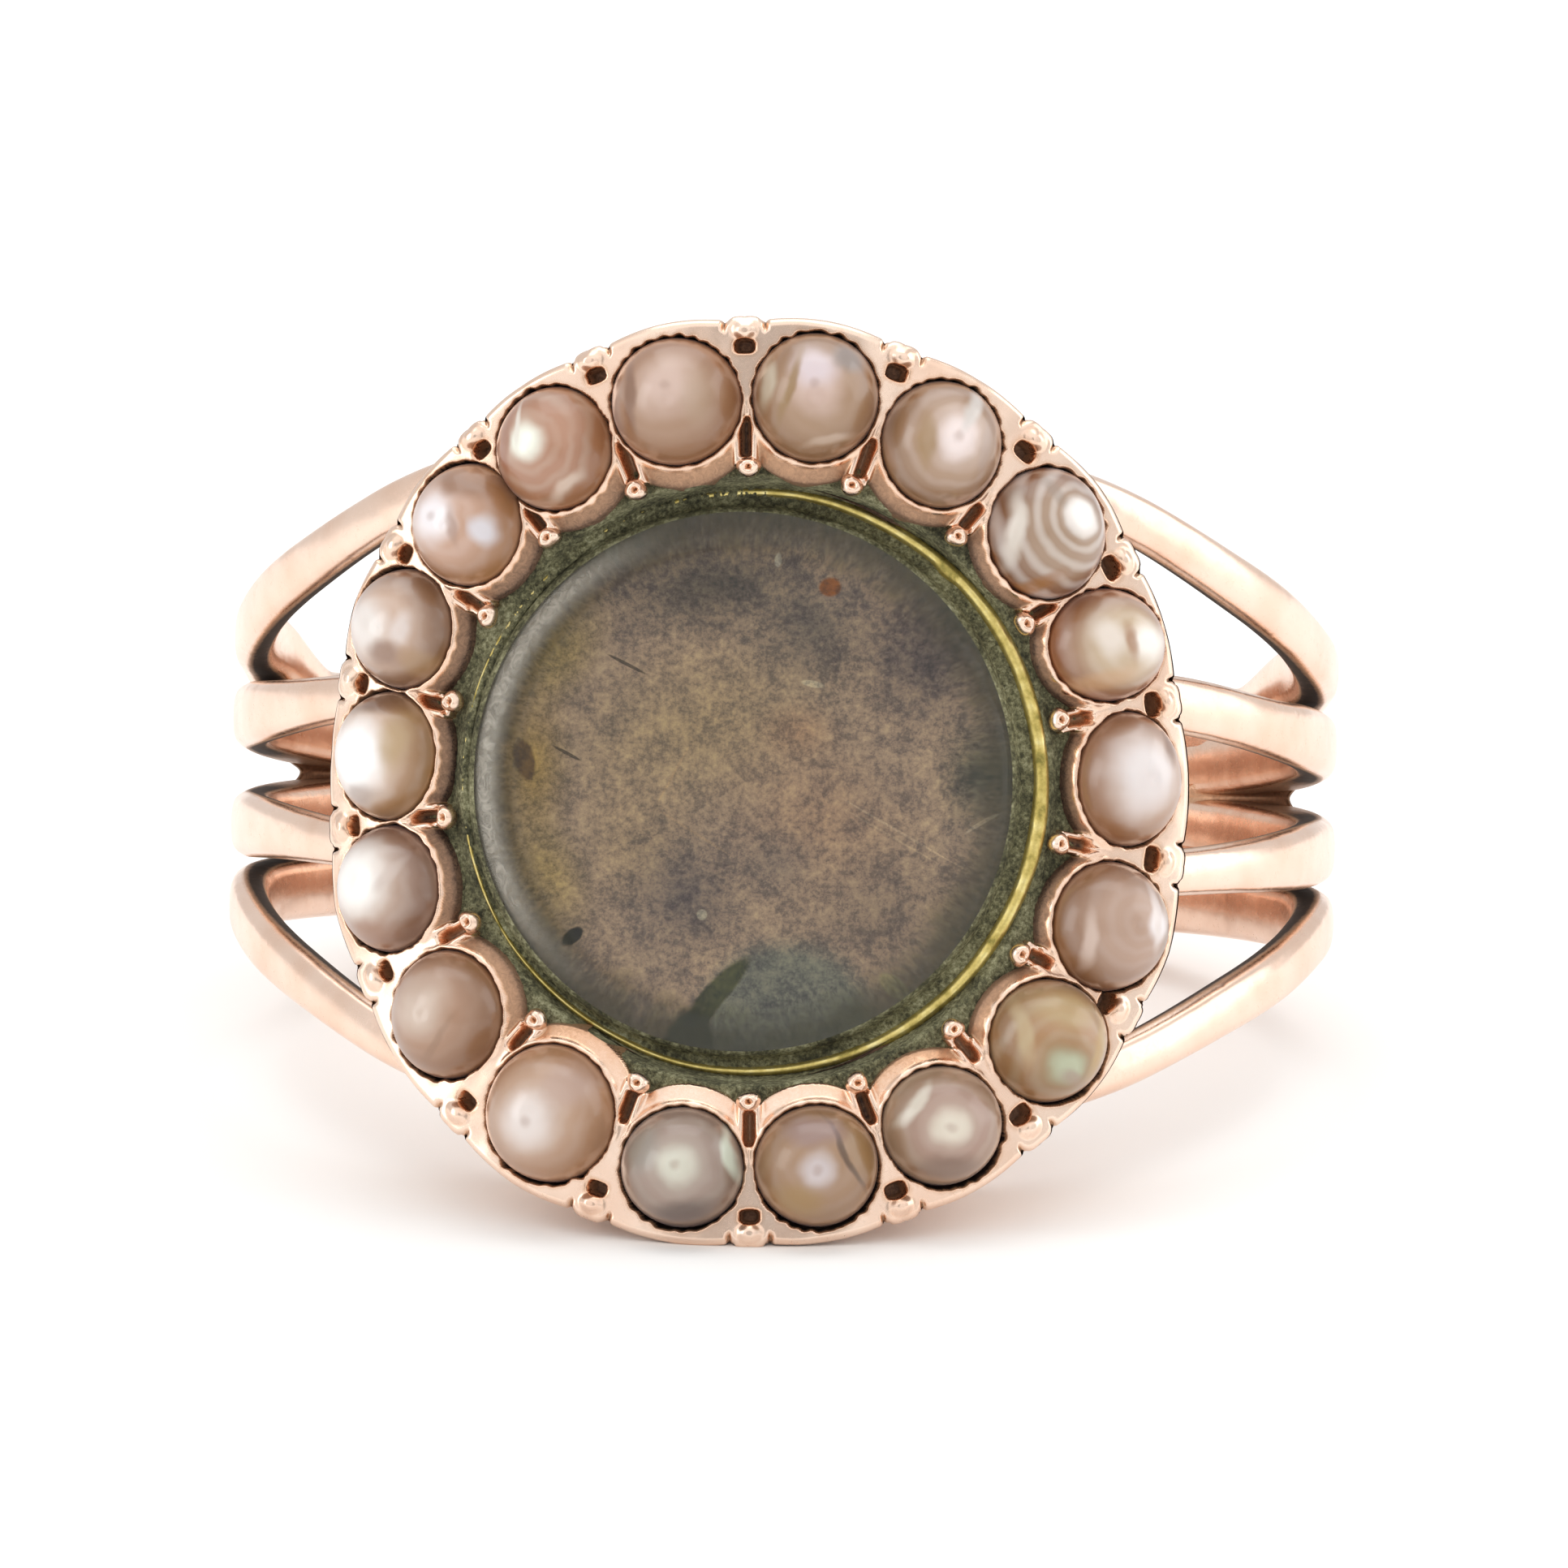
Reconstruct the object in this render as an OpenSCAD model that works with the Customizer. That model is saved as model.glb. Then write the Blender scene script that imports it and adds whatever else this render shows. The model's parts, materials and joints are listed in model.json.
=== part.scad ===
// Rose gold locket ring with a ring of half pearls, lying on its side.
// Lengths are in millimetres. Each piece is drawn in the ring's own frame: the finger's axis is Z,
// the head looks along -Y and the middle of the finger hole is the origin. lie_down() then tips the
// whole ring back so that it rests on the head's edge and on the back of the band.
// Round the head, a place is given as an angle, clockwise from the top as the wearer's hand shows it,
// and a distance from the head's middle, measured along its bent face.

/* [Finger hole] */
// Diameter of the finger hole
finger_d = 17.3; // [16.5:0.1:19]

/* [Shank] */
// Thickness of the metal from the finger hole to the crest of a wire
shank_t = 1.35; // [1.2:0.05:1.6]
// Width of a shoulder wire where it leaves the back band
wire_w = 1.14; // [1.04:0.02:1.2]
// Width lost by each flank of an inner wire for each millimetre towards the head
inner_taper = 0.034; // [0:0.002:0.05]
// Depth of the grooves between the wires where the back band begins
groove_depth = 0.25; // [0.15:0.05:0.4]
// Distance behind the finger hole's middle at which the plain back begins
plain_from = 6.6; // [5:0.1:8]

/* [Head] */
// Height of the head's bent face above the finger hole
head_t = 3.35; // [3.1:0.05:3.8]
// Width of the rim outside each pearl's seat
rim_w = 0.25; // [0.2:0.01:0.35]
// Depth of the dip in the head's outline between two pearls
lobe_dip = 0.13; // [0.05:0.01:0.25]
// Distance behind the finger hole's middle at which the head's tapering walls would meet
taper_point = 16.2; // [13:0.1:24]

/* [Pearls] */
// Gap all round between a pearl and its seat
seat_gap = 0.03; // [0.02:0.005:0.05]
// Depth of a pearl's seat below the head's face
seat_depth = 0.38; // [0.3:0.01:0.45]
// Height of a pearl's widest circle above its flat back
pearl_girdle = 0.1; // [0.05:0.01:0.2]

/* [Metalwork round the pearls] */
// Diameter of the gold grains inside the ring of pearls
grain_d = 0.4; // [0.3:0.02:0.44]
// Diameter of the drilled pits outside the ring of pearls
pit_d = 0.36; // [0.24:0.02:0.4]
// Depth of the drilled pits
pit_depth = 0.5; // [0.3:0.05:0.7]

/* [Locket] */
// Diameter of the locket's well
well_d = 10.4; // [10.2:0.05:10.5]
// Thickness of the head's back plate behind the well
back_plate_t = 0.9; // [0.7:0.05:1.0]
// Diameter of the locket glass
glass_d = 9.52; // [9.4:0.02:9.54]
// Width of the ground bevel round the glass
bevel_w = 0.65; // [0.4:0.05:0.9]
// Distance of the glass from the well's middle, towards the left
glass_shift = 0.14; // [0.05:0.01:0.16]

/* [Hidden] */
$fn = 96;

rose_gold = [0.86, 0.62, 0.49];
yellow_gilt = [0.66, 0.55, 0.27];
stained_brown = [0.37, 0.31, 0.26];
clear_glass = [0.62, 0.62, 0.58, 0.5];
pearl_pink = [0.78, 0.67, 0.61];

hole_r = finger_d / 2;
crest_r = hole_r + shank_t;
face_r = hole_r + head_t;

// Half pearls, clockwise from just left of the top: [angle, distance from the middle, diameter]
ANGLE = 0;
OUT = 1;
DIA = 2;
pearls = [
  [348.2, 6.70, 2.20], [9.1, 6.74, 2.16], [28.7, 6.73, 2.14], [49.5, 6.80, 2.20], [68.9, 6.84, 2.10],
  [88.7, 6.87, 2.18], [109.9, 6.97, 2.26], [129.2, 6.94, 2.14], [149.4, 6.84, 2.12], [168.8, 6.76, 2.12],
  [188.5, 6.77, 2.12], [210.0, 6.73, 2.34], [232.6, 6.79, 2.24], [253.0, 6.93, 2.16], [272.1, 6.80, 2.08],
  [290.8, 6.90, 2.06], [309.3, 6.80, 2.04], [328.0, 6.71, 2.08]
];
pearl_count = len(pearls);

// Shoulder wires: [height at the equator, its rise towards the head, its fall towards the back, inner]
RISE = 1;
FALL = 2;
INNER = 3;
wires = [
  [2.20, 0.30, 0.04, false], [0.93, 0.065, 0.065, true],
  [-0.93, -0.065, -0.065, true], [-2.20, -0.30, -0.04, false]
];
// A wire that leans keeps its distance from the finger if its circle is moved by this share of its lean
lean_shift = 7.8;
overrun = 3;
flank_spare = 0.05;

grain_out = 5.6;
pit_out = 7.6;
rib_r = 0.2;
rib_sunk = 0.1;
rib_length = 1.7;
rim_steps = 6;
rim_planes = [4, 14];
plain_proud = 0.05;
half_gap = 0.4;
cleft_end = 3.7;
side_cleft = 0.12;
side_cleft_end = 1.3;
far = 40;
back_far = 13;

well_r = well_d / 2;
well_floor = hole_r + back_plate_t;
piece_gap = 0.04;
backing_t = 0.3;
glass_back = well_floor + backing_t + 2 * piece_gap;
glass_edge = 10.85;
glass_face = 11.35;
glass_dome = 0.1;
glass_r = glass_d / 2;
gilt_r = well_r - 0.12;
gilt_shift = 0.05;
gilt_top = 10.8;

wire_r = wire_w / 2;
wire_ring_r = crest_r - wire_r;
plain_r = crest_r + plain_proud;
back_low = wires[0][0] + wire_r + plain_proud - wires[0][FALL] * plain_r;

// The ring leans back until it rests on the head's lowest edge and on the lower edge of the plain back.
lean = max([for (p = concat(head_outline(), rib_tops())) atan2(-p[2] - back_low, plain_r - p[1])]);
rest_height = back_low * cos(lean) + plain_r * sin(lean);
pearl_middle = face_r - seat_depth + seat_gap + pearl_girdle;
front_reach = max([for (p = pearls) p[DIA] / 2 - p[OUT] * cos(p[ANGLE]) * sin(lean)
  + pearl_middle * cos(round_finger(p[ANGLE], p[OUT])) * cos(lean)]);
back_reach = plain_r * cos(lean) + back_low * sin(lean);

// Outline of the head, as its distance from the middle along the bent face. A place along the outline
// is counted in pearls: 0 at the first pearl, 0.5 halfway to the second.
function reach(i) = pearls[i % pearl_count][OUT] + pearls[i % pearl_count][DIA] / 2 + seat_gap + rim_w;
function rim_reach(p) = let(i = floor(p), f = p - i)
  reach(i) * (1 - f) + reach(i + 1) * f - lobe_dip * (1 - abs(cos(180 * f)));
function turn_to(i) = pearls[i % pearl_count][ANGLE] + 360 * floor(i / pearl_count)
  - (i % pearl_count == 0 ? 360 : 0);
function turn(p) = let(i = floor(p), f = p - i, a = turn_to(i), b = turn_to(i + 1)) a * (1 - f) + b * f;
function round_finger(a, out) = out * sin(a) / face_r * 180 / PI;
function face_point(a, out) = let(t = round_finger(a, out))
  [face_r * sin(t), -face_r * cos(t), out * cos(a)];

function rib_tops() = [for (i = [0 : pearl_count - 1])
  face_point(turn(i + 0.5), rim_reach(i + 0.5) - rib_sunk + rib_r)];
function head_outline() = [for (k = [0 : pearl_count * rim_steps - 1])
  face_point(turn(k / rim_steps), rim_reach(k / rim_steps))];

// Carries a shape drawn upwards from z = 0 to a place on the bent face, pointing away from the finger.
module on_face(a, out, height = face_r) {
  rotate([0, 0, round_finger(a, out)])
    translate([0, -height, out * cos(a)])
      rotate([90, 0, 0])
        children();
}

module between_pearls(out, height = face_r) {
  for (i = [0 : pearl_count - 1])
    on_face(turn(i + 0.5), out, height)
      children();
}

module lie_down() {
  translate([0, (front_reach - back_reach) / 2, rest_height])
    rotate([-lean, 0, 0])
      children();
}

// The head's wall: straight lines from a point behind the finger through the scalloped outline.
module head_wall() {
  rim = head_outline();
  n = len(rim);
  points = [for (plane = rim_planes) for (p = rim)
    let(s = (plane + taper_point) / (taper_point - p[1])) [p[0] * s, -plane, p[2] * s]];
  sides = [for (k = [0 : n - 1]) [k, (k + 1) % n, n + (k + 1) % n, n + k]];
  back = [for (k = [0 : n - 1]) n - 1 - k];
  front = [for (k = [0 : n - 1]) n + k];
  polyhedron(points, concat(sides, [back, front]));
}

// A rib runs down the head's wall from each dip in its outline.
module wall_ribs() {
  for (i = [0 : pearl_count - 1]) {
    top = face_point(turn(i + 0.5), rim_reach(i + 0.5) - rib_sunk);
    down = [-top[0], taper_point - top[1], -top[2]];
    translate(top)
      rotate([0, acos(down[2] / norm(down)), atan2(down[1], down[0])])
        translate([0, 0, -1])
          cylinder(r = rib_r, h = rib_length + 1);
  }
}

module head() {
  intersection() {
    union() {
      head_wall();
      wall_ribs();
    }
    cylinder(r = face_r, h = far, center = true);
  }
}

// Half round wire section that starts inside the finger hole, so that the hole's cut trues it.
module wire_section() {
  translate([wire_ring_r, 0])
    circle(wire_r);
  translate([hole_r - 0.3, -wire_r])
    square([wire_ring_r - hole_r + 0.3, wire_w]);
}

// Half a turn of a wire that leans by the given rise, towards the head or towards the back. It runs on
// a little past the equator, so that the two halves of a wire meet.
module half_wire(height, rise, towards_head) {
  wire_lean = atan(rise);
  shift = lean_shift * (1 - cos(wire_lean));
  translate([0, 0, height])
    rotate([-wire_lean, 0, 0])
      translate([0, towards_head ? -shift : shift, 0])
        rotate([0, 0, (towards_head ? 180 : 0) - overrun])
          rotate_extrude(angle = 180 + 2 * overrun)
            wire_section();
}

// An outer wire keeps its width and leans more towards the head than towards the back.
module outer_wire(w) {
  half_wire(w[0], w[RISE], true);
  half_wire(w[0], w[FALL], false);
}

// An inner wire is a plain leaning circle, cut down by a flat flank on each side of it towards the head.
module inner_wire(w) {
  start = wire_r + flank_spare;
  function edge(y, s) = w[0] + w[RISE] * y + s * (start - inner_taper * y);
  intersection() {
    translate([0, 0, w[0]])
      rotate([-atan(w[RISE]), 0, 0])
        rotate_extrude()
          wire_section();
    rotate([90, 0, -90])
      linear_extrude(far, center = true)
        polygon([for (c = [[-back_far, 1], [back_far, 1], [back_far, -1], [-back_far, -1]])
          [c[0], edge(c[0], c[1])]]);
  }
}

// Both faces of the band fall towards the back as the outer wires do.
module band_between(start, top) {
  drop = wires[0][FALL];
  rotate([90, 0, 90])
    linear_extrude(far, center = true)
      polygon([
        [start, top - start * drop],
        [back_far, top - back_far * drop],
        [back_far, back_far * drop - top],
        [start, start * drop - top]
      ]);
}

// The wires are let into a band that is cloven between them where it begins.
module cloven_band() {
  difference() {
    intersection() {
      cylinder(r = crest_r - groove_depth, h = far, center = true);
      band_between(0, wires[0][0]);
    }
    rotate([90, 0, 90])
      linear_extrude(far, center = true) {
        polygon([[-1, half_gap], [cleft_end, 0], [-1, -half_gap]]);
        for (s = [-1, 1])
          translate([0, s * (wires[0][0] + wires[1][0]) / 2])
            polygon([[-1, side_cleft], [side_cleft_end, 0], [-1, -side_cleft]]);
      }
  }
}

// At the very back the band is plain and stands a little proud of the wires.
module plain_back() {
  intersection() {
    cylinder(r = plain_r, h = far, center = true);
    band_between(plain_from, wires[0][0] + wire_r + plain_proud);
  }
}

module pearl_seats() {
  for (p = pearls)
    on_face(p[ANGLE], p[OUT], face_r - seat_depth)
      cylinder(r = p[DIA] / 2 + seat_gap, h = 3);
}

module gold_mount() {
  color(rose_gold)
    lie_down()
      difference() {
        union() {
          head();
          for (w = wires)
            if (w[INNER]) inner_wire(w);
            else outer_wire(w);
          cloven_band();
          plain_back();
          between_pearls(grain_out)
            sphere(d = grain_d);
        }
        cylinder(r = hole_r, h = far, center = true);
        translate([0, -well_floor, 0])
          rotate([90, 0, 0])
            cylinder(r = well_r, h = 5);
        pearl_seats();
        between_pearls(pit_out, face_r - pit_depth)
          cylinder(d = pit_d, h = 2);
      }
}

// Carries a shape drawn upwards from z = 0 into the well, moved to one side of its middle.
module in_well(height, shift = 0) {
  lie_down()
    translate([shift, -height, 0])
      rotate([90, 0, 0])
        children();
}

module gilt_rim() {
  base = well_floor + piece_gap;
  color(yellow_gilt)
    in_well(base, gilt_shift)
      difference() {
        cylinder(r = gilt_r, h = gilt_top - base);
        translate([-gilt_shift - glass_shift, 0, -1])
          cylinder(r = glass_r + piece_gap, h = 5);
      }
}

module backing() {
  color(stained_brown)
    in_well(well_floor + piece_gap, -glass_shift)
      cylinder(r = glass_r - piece_gap, h = backing_t);
}

module glass() {
  edge = glass_edge - glass_back;
  face = glass_face - glass_back;
  flat_r = glass_r - bevel_w;
  color(clear_glass)
    in_well(glass_back, -glass_shift)
      rotate_extrude()
        polygon([
          [0, 0],
          [glass_r, 0],
          [glass_r, edge],
          [glass_r - bevel_w / 3, edge + (face - edge) * 0.6],
          [flat_r, face],
          [flat_r / 2, face + glass_dome * 0.75],
          [0, face + glass_dome]
        ]);
}

module pearl(i) {
  p = pearls[i - 1];
  r = p[DIA] / 2;
  color(pearl_pink)
    lie_down()
      on_face(p[ANGLE], p[OUT], face_r - seat_depth + seat_gap)
        intersection() {
          translate([0, 0, pearl_girdle])
            sphere(r);
          cylinder(r = r + 1, h = 3);
        }
}

gold_mount();
gilt_rim();
backing();
glass();
pearl(1);  // pearl_01
pearl(2);  // pearl_02
pearl(3);  // pearl_03
pearl(4);  // pearl_04
pearl(5);  // pearl_05
pearl(6);  // pearl_06
pearl(7);  // pearl_07
pearl(8);  // pearl_08
pearl(9);  // pearl_09
pearl(10);  // pearl_10
pearl(11);  // pearl_11
pearl(12);  // pearl_12
pearl(13);  // pearl_13
pearl(14);  // pearl_14
pearl(15);  // pearl_15
pearl(16);  // pearl_16
pearl(17);  // pearl_17
pearl(18);  // pearl_18
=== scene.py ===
import json
import math
import bpy
import numpy as np
from mathutils import Matrix, Vector


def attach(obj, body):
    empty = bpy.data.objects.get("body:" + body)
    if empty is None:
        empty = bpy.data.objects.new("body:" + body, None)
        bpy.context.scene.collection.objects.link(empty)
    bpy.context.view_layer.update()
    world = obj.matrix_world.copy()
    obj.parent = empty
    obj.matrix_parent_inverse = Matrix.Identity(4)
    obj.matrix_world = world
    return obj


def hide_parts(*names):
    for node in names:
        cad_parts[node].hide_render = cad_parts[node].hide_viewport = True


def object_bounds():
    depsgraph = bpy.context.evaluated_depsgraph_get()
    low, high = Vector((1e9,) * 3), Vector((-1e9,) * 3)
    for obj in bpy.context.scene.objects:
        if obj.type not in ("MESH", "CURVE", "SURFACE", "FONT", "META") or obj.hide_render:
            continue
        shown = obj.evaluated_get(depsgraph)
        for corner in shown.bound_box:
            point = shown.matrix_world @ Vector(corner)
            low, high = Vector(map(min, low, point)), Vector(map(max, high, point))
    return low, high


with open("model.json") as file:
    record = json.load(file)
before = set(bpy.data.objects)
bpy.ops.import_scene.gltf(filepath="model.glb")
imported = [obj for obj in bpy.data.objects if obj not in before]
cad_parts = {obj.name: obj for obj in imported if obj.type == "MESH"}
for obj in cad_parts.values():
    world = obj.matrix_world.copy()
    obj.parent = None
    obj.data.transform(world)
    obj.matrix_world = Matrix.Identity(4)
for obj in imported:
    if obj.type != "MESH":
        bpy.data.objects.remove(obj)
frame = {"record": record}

# Rose gold ring with four-wire shoulders and a round bent head: eighteen half pearls in cut-down
# collets round a glazed locket. Lengths are in millimetres until a mesh is made.
# A place in the ring is (x, v, w): x to the right as the head is seen, v up along the finger and
# w out of the picture, from the middle of the finger hole.
cad_box = [list(corner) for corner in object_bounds()]
MM = 0.001

hole = next(m for m in frame["record"]["mounts"] if m["name"] == "finger_hole")
HOLE_MIDDLE = np.array(hole["pos_m"])
ALONG_FINGER = np.array(hole["axis"]) / np.linalg.norm(hole["axis"])
TO_THE_RIGHT = np.array([1.0, 0.0, 0.0])
OUT_OF_HEAD = np.cross(TO_THE_RIGHT, -ALONG_FINGER)
# The head looks to the front, which is towards -y.
if OUT_OF_HEAD[1] > 0:
    OUT_OF_HEAD = -OUT_OF_HEAD

# Radii from the finger's axis: hole, crown of the wires, head's face, and the band's groove and back.
HOLE_R = 8.65
CREST_R = 10.0
FACE_R = 12.0
GROOVE_R = 9.75
PLAIN_R = 10.05
# Half width of a wire at the back.
WIRE_R = 0.57
# How far behind the finger's axis the head's tapering wall would come to a point.
TAPER_POINT = 16.2
# The locket: the glass and the gilt rim lie a little to the left and to the right of its middle.
WELL_R = 5.2
WELL_FLOOR = 9.55
GLASS_R = 4.76
GLASS_X = -0.14
RIM_X = 0.05
BEVEL_W = 0.95
# Distances from the head's middle of the drilled pits and the beads between the pearls, and how much
# its rim dips there.
PIT_OUT = 7.54
BEAD_OUT = 7.82
LOBE_DIP = 0.13

# Half pearls, clockwise from just left of the top: angle, distance from the head's middle, width
# round the finger and height along it.
PEARLS = [
    (347.9, 6.70, 2.32, 2.25), (8.8, 6.75, 2.22, 2.28), (29.0, 6.76, 2.17, 2.25),
    (49.8, 6.85, 2.21, 2.33), (68.7, 6.91, 2.29, 2.00), (88.5, 6.93, 2.04, 2.39),
    (109.8, 7.03, 2.27, 2.29), (128.8, 7.00, 2.24, 2.18), (149.0, 6.87, 2.18, 2.10),
    (168.6, 6.76, 2.18, 2.14), (188.6, 6.78, 2.18, 2.12), (210.3, 6.75, 2.38, 2.44),
    (232.5, 6.83, 2.18, 2.28), (253.4, 6.97, 2.09, 2.25), (272.8, 6.80, 2.07, 2.28),
    (291.4, 6.99, 2.07, 2.13), (309.9, 6.81, 2.13, 2.17), (327.8, 6.74, 2.15, 2.19),
]
COUNT = len(PEARLS)
# Distance from the head's middle of its rim outside each of them.
OUTLINE_REACH = [8.08, 8.10, 8.08, 8.18, 8.17, 8.24, 8.38, 8.29, 8.18,
                 8.10, 8.11, 8.18, 8.19, 8.29, 8.12, 8.21, 8.10, 8.03]

# The grain after each half pearl: angle and distance from the head's middle.
GRAINS = [(358.9, 5.45), (18.2, 5.44), (39.6, 5.62), (59.7, 5.64), (77.9, 5.68), (99.8, 5.68),
          (120.6, 5.70), (138.8, 5.61), (158.8, 5.56), (178.7, 5.55), (199.1, 5.57), (221.4, 5.62),
          (243.2, 5.63), (262.5, 5.60), (283.3, 5.62), (300.1, 5.56), (318.7, 5.55), (337.4, 5.43)]

# A shoulder wire from the back to the head: how far in front of the finger's axis it is, then the
# height of its middle and its half width there.
OUTER_WIRE = [(-10.0, 1.80, 0.57), (-3.0, 2.10, 0.57), (0.0, 2.27, 0.53), (2.0, 2.62, 0.52),
              (3.0, 2.92, 0.53), (4.0, 3.24, 0.53), (5.0, 3.58, 0.52), (6.0, 3.97, 0.50),
              (7.0, 4.50, 0.48), (8.0, 5.05, 0.46), (9.5, 5.7, 0.40)]
INNER_WIRE = [(-10.0, 0.28, 0.57), (-3.0, 0.74, 0.57), (0.0, 0.94, 0.58), (2.0, 1.02, 0.59),
              (3.0, 1.07, 0.56), (4.5, 1.17, 0.49), (5.8, 1.28, 0.43), (7.0, 1.40, 0.40),
              (9.5, 1.60, 0.36)]
# Half height of the back band at the finger's axis, and how it falls towards the back.
BAND_HALF = 2.20
BAND_FALL = 0.04


def in_row(points):
    """Carries ring places in millimetres, one a row, to the frame's metres."""
    points = np.asarray(points, float)
    axes = np.array([TO_THE_RIGHT, ALONG_FINGER, OUT_OF_HEAD])
    return HOLE_MIDDLE + points @ axes * MM


def smooth_step(start, end, value):
    """Rises softly from 0 to 1 between two values."""
    t = np.clip((value - start) / (end - start), 0.0, 1.0)
    return t * t * (3 - 2 * t)


def hump(value, half_width):
    """1 at zero, falling softly to both sides."""
    return np.exp(-(value / half_width) ** 2)


def read_round(table, p):
    """Reads a table with one entry a pearl at a place counted in pearls."""
    p = np.asarray(p, float)
    i = np.floor(p).astype(int)
    f = p - i
    return table[i] * (1 - f) + table[i + 1] * f


def turn(p):
    """Angle clockwise from the top of a place counted in pearls, in radians."""
    # The first pearl stands just left of the top, so its angle is taken as negative.
    angles = [pearl[0] - (360 if k == 0 else 0) for k, pearl in enumerate(PEARLS)]
    return np.radians(read_round(np.array(angles + [a + 360 for a in angles] + [angles[0] + 720]), p))


def rim_reach(p):
    """How far the rim reaches at a place counted in pearls; it dips between each two."""
    reach = read_round(np.array(OUTLINE_REACH * 2 + OUTLINE_REACH[:1]), p)
    return reach - LOBE_DIP * (1 - np.abs(np.cos(np.pi * p)))


def on_face(u, v, height):
    """A place on the bent face, u along the bend and v along the finger, with its height above it."""
    r = FACE_R + height
    return np.stack([r * np.sin(u / FACE_R), v + 0 * r, r * np.cos(u / FACE_R)], -1)


def jagged(angle, seed, low=7, high=26, depth=1.0):
    """A hand-cut edge: a wavy line round a circle that closes on itself."""
    dice = np.random.default_rng(seed)
    wave = 0 * angle
    for k in range(low, high):
        wave = wave + dice.normal() * np.sin(k * angle + dice.uniform(0, 6.28)) / math.sqrt(high - low)
    return wave * depth


def full_turn(columns):
    """Evenly spaced angles, clockwise from the top."""
    return np.arange(columns) / columns * 2 * math.pi


def ring_row(angle, r, w, x=0.0):
    """A ring of places round the locket's middle, or round a place x to the right of it."""
    return np.stack([x + r * np.sin(angle), r * np.cos(angle), w + 0 * angle], -1)


def grain_noise(points, size, seed):
    """Soft lumps of the given size in millimetres, mostly between -1 and 1."""
    dice = np.random.default_rng(seed)
    total = np.zeros(points.shape[:-1])
    for _ in range(14):
        way = dice.normal(size=3)
        way = way / np.linalg.norm(way) * dice.uniform(0.7, 1.6) * 2 * math.pi / size
        total = total + np.sin(points @ way + dice.uniform(0, 6.28))
    return total / math.sqrt(14)


def make_piece(name, points, faces, material, stands_for=(), marks=None):
    """Makes one mesh of the ring from places in millimetres and lets it ride on the ring."""
    mesh = bpy.data.meshes.new(name)
    mesh.from_pydata(in_row(points).tolist(), [], faces)
    mesh.polygons.foreach_set("use_smooth", [True] * len(mesh.polygons))
    for mark, values in (marks or {}).items():
        values = np.asarray(values, np.float32)
        if values.ndim == 1:
            mesh.attributes.new(mark, "FLOAT", "POINT").data.foreach_set("value", values)
        else:
            mesh.attributes.new(mark, "FLOAT_VECTOR", "POINT").data.foreach_set("vector", values.ravel())
    mesh.materials.append(material)
    mesh.validate()
    piece = bpy.data.objects.new(name, mesh)
    bpy.context.scene.collection.objects.link(piece)
    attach(piece, "root")
    if stands_for:
        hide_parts(*stands_for)


def make_gold(name, points, faces, material, grime_and_shade):
    """Makes a piece of the gold mount; the last argument is how dark each of its places is painted, from 0
    to 1: dirt, and painted shade on shaded walls and in recesses.
    """
    make_piece(name, points, faces, material, ("gold_mount",), {"grime_and_shade": grime_and_shade})


def sheet_faces(rows, columns, closed, start=0, flip=False):
    """Four-sided faces of a grid of places, joined round its rows where it is closed."""
    r, c = np.meshgrid(np.arange(rows - 1), np.arange(columns if closed else columns - 1), indexing="ij")
    a = r * columns + c
    b = r * columns + (c + 1) % columns
    corners = [a, b, b + columns, a + columns]
    if flip:
        corners = corners[::-1]
    return (np.stack(corners, -1).reshape(-1, 4) + start).tolist()


# Colours, nodes and materials

def linear(hex_colour):
    """Turns an sRGB hex colour to linear light."""
    channels = [int(hex_colour[i:i + 2], 16) / 255 for i in (1, 3, 5)]
    return tuple(c / 12.92 if c <= 0.04045 else ((c + 0.055) / 1.055) ** 2.4 for c in channels) + (1.0,)


def put(tree, kind, joins=None, stops=None, **settings):
    """Adds a node, its settings and what goes into it: a value, a hex colour, a socket, or a node,
    which stands for its first output in use. Stops are a ramp's places and colours."""
    node = tree.nodes.new("ShaderNode" + kind)
    for setting, value in settings.items():
        setattr(node, setting, value)
    for socket, value in (joins or {}).items():
        if isinstance(value, bpy.types.Node):
            value = next(out for out in value.outputs if out.enabled)
        if isinstance(value, str):
            value = linear(value)
        if isinstance(value, bpy.types.NodeSocket):
            tree.links.new(value, node.inputs[socket])
        else:
            node.inputs[socket].default_value = value
    if stops:
        ramp = node.color_ramp.elements
        while len(ramp) < len(stops):
            ramp.new(0.5)
        for stop, (place, colour) in zip(ramp, stops):
            stop.position = place
            stop.color = linear(colour)
    return node


def make_material(name, surface, *choices):
    """Makes a material from the shader that its surface function puts together."""
    material = bpy.data.materials.new(name)
    material.use_nodes = True
    tree = material.node_tree
    tree.nodes.clear()
    put(tree, "OutputMaterial", {"Surface": surface(tree, *choices)})
    return material


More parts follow.
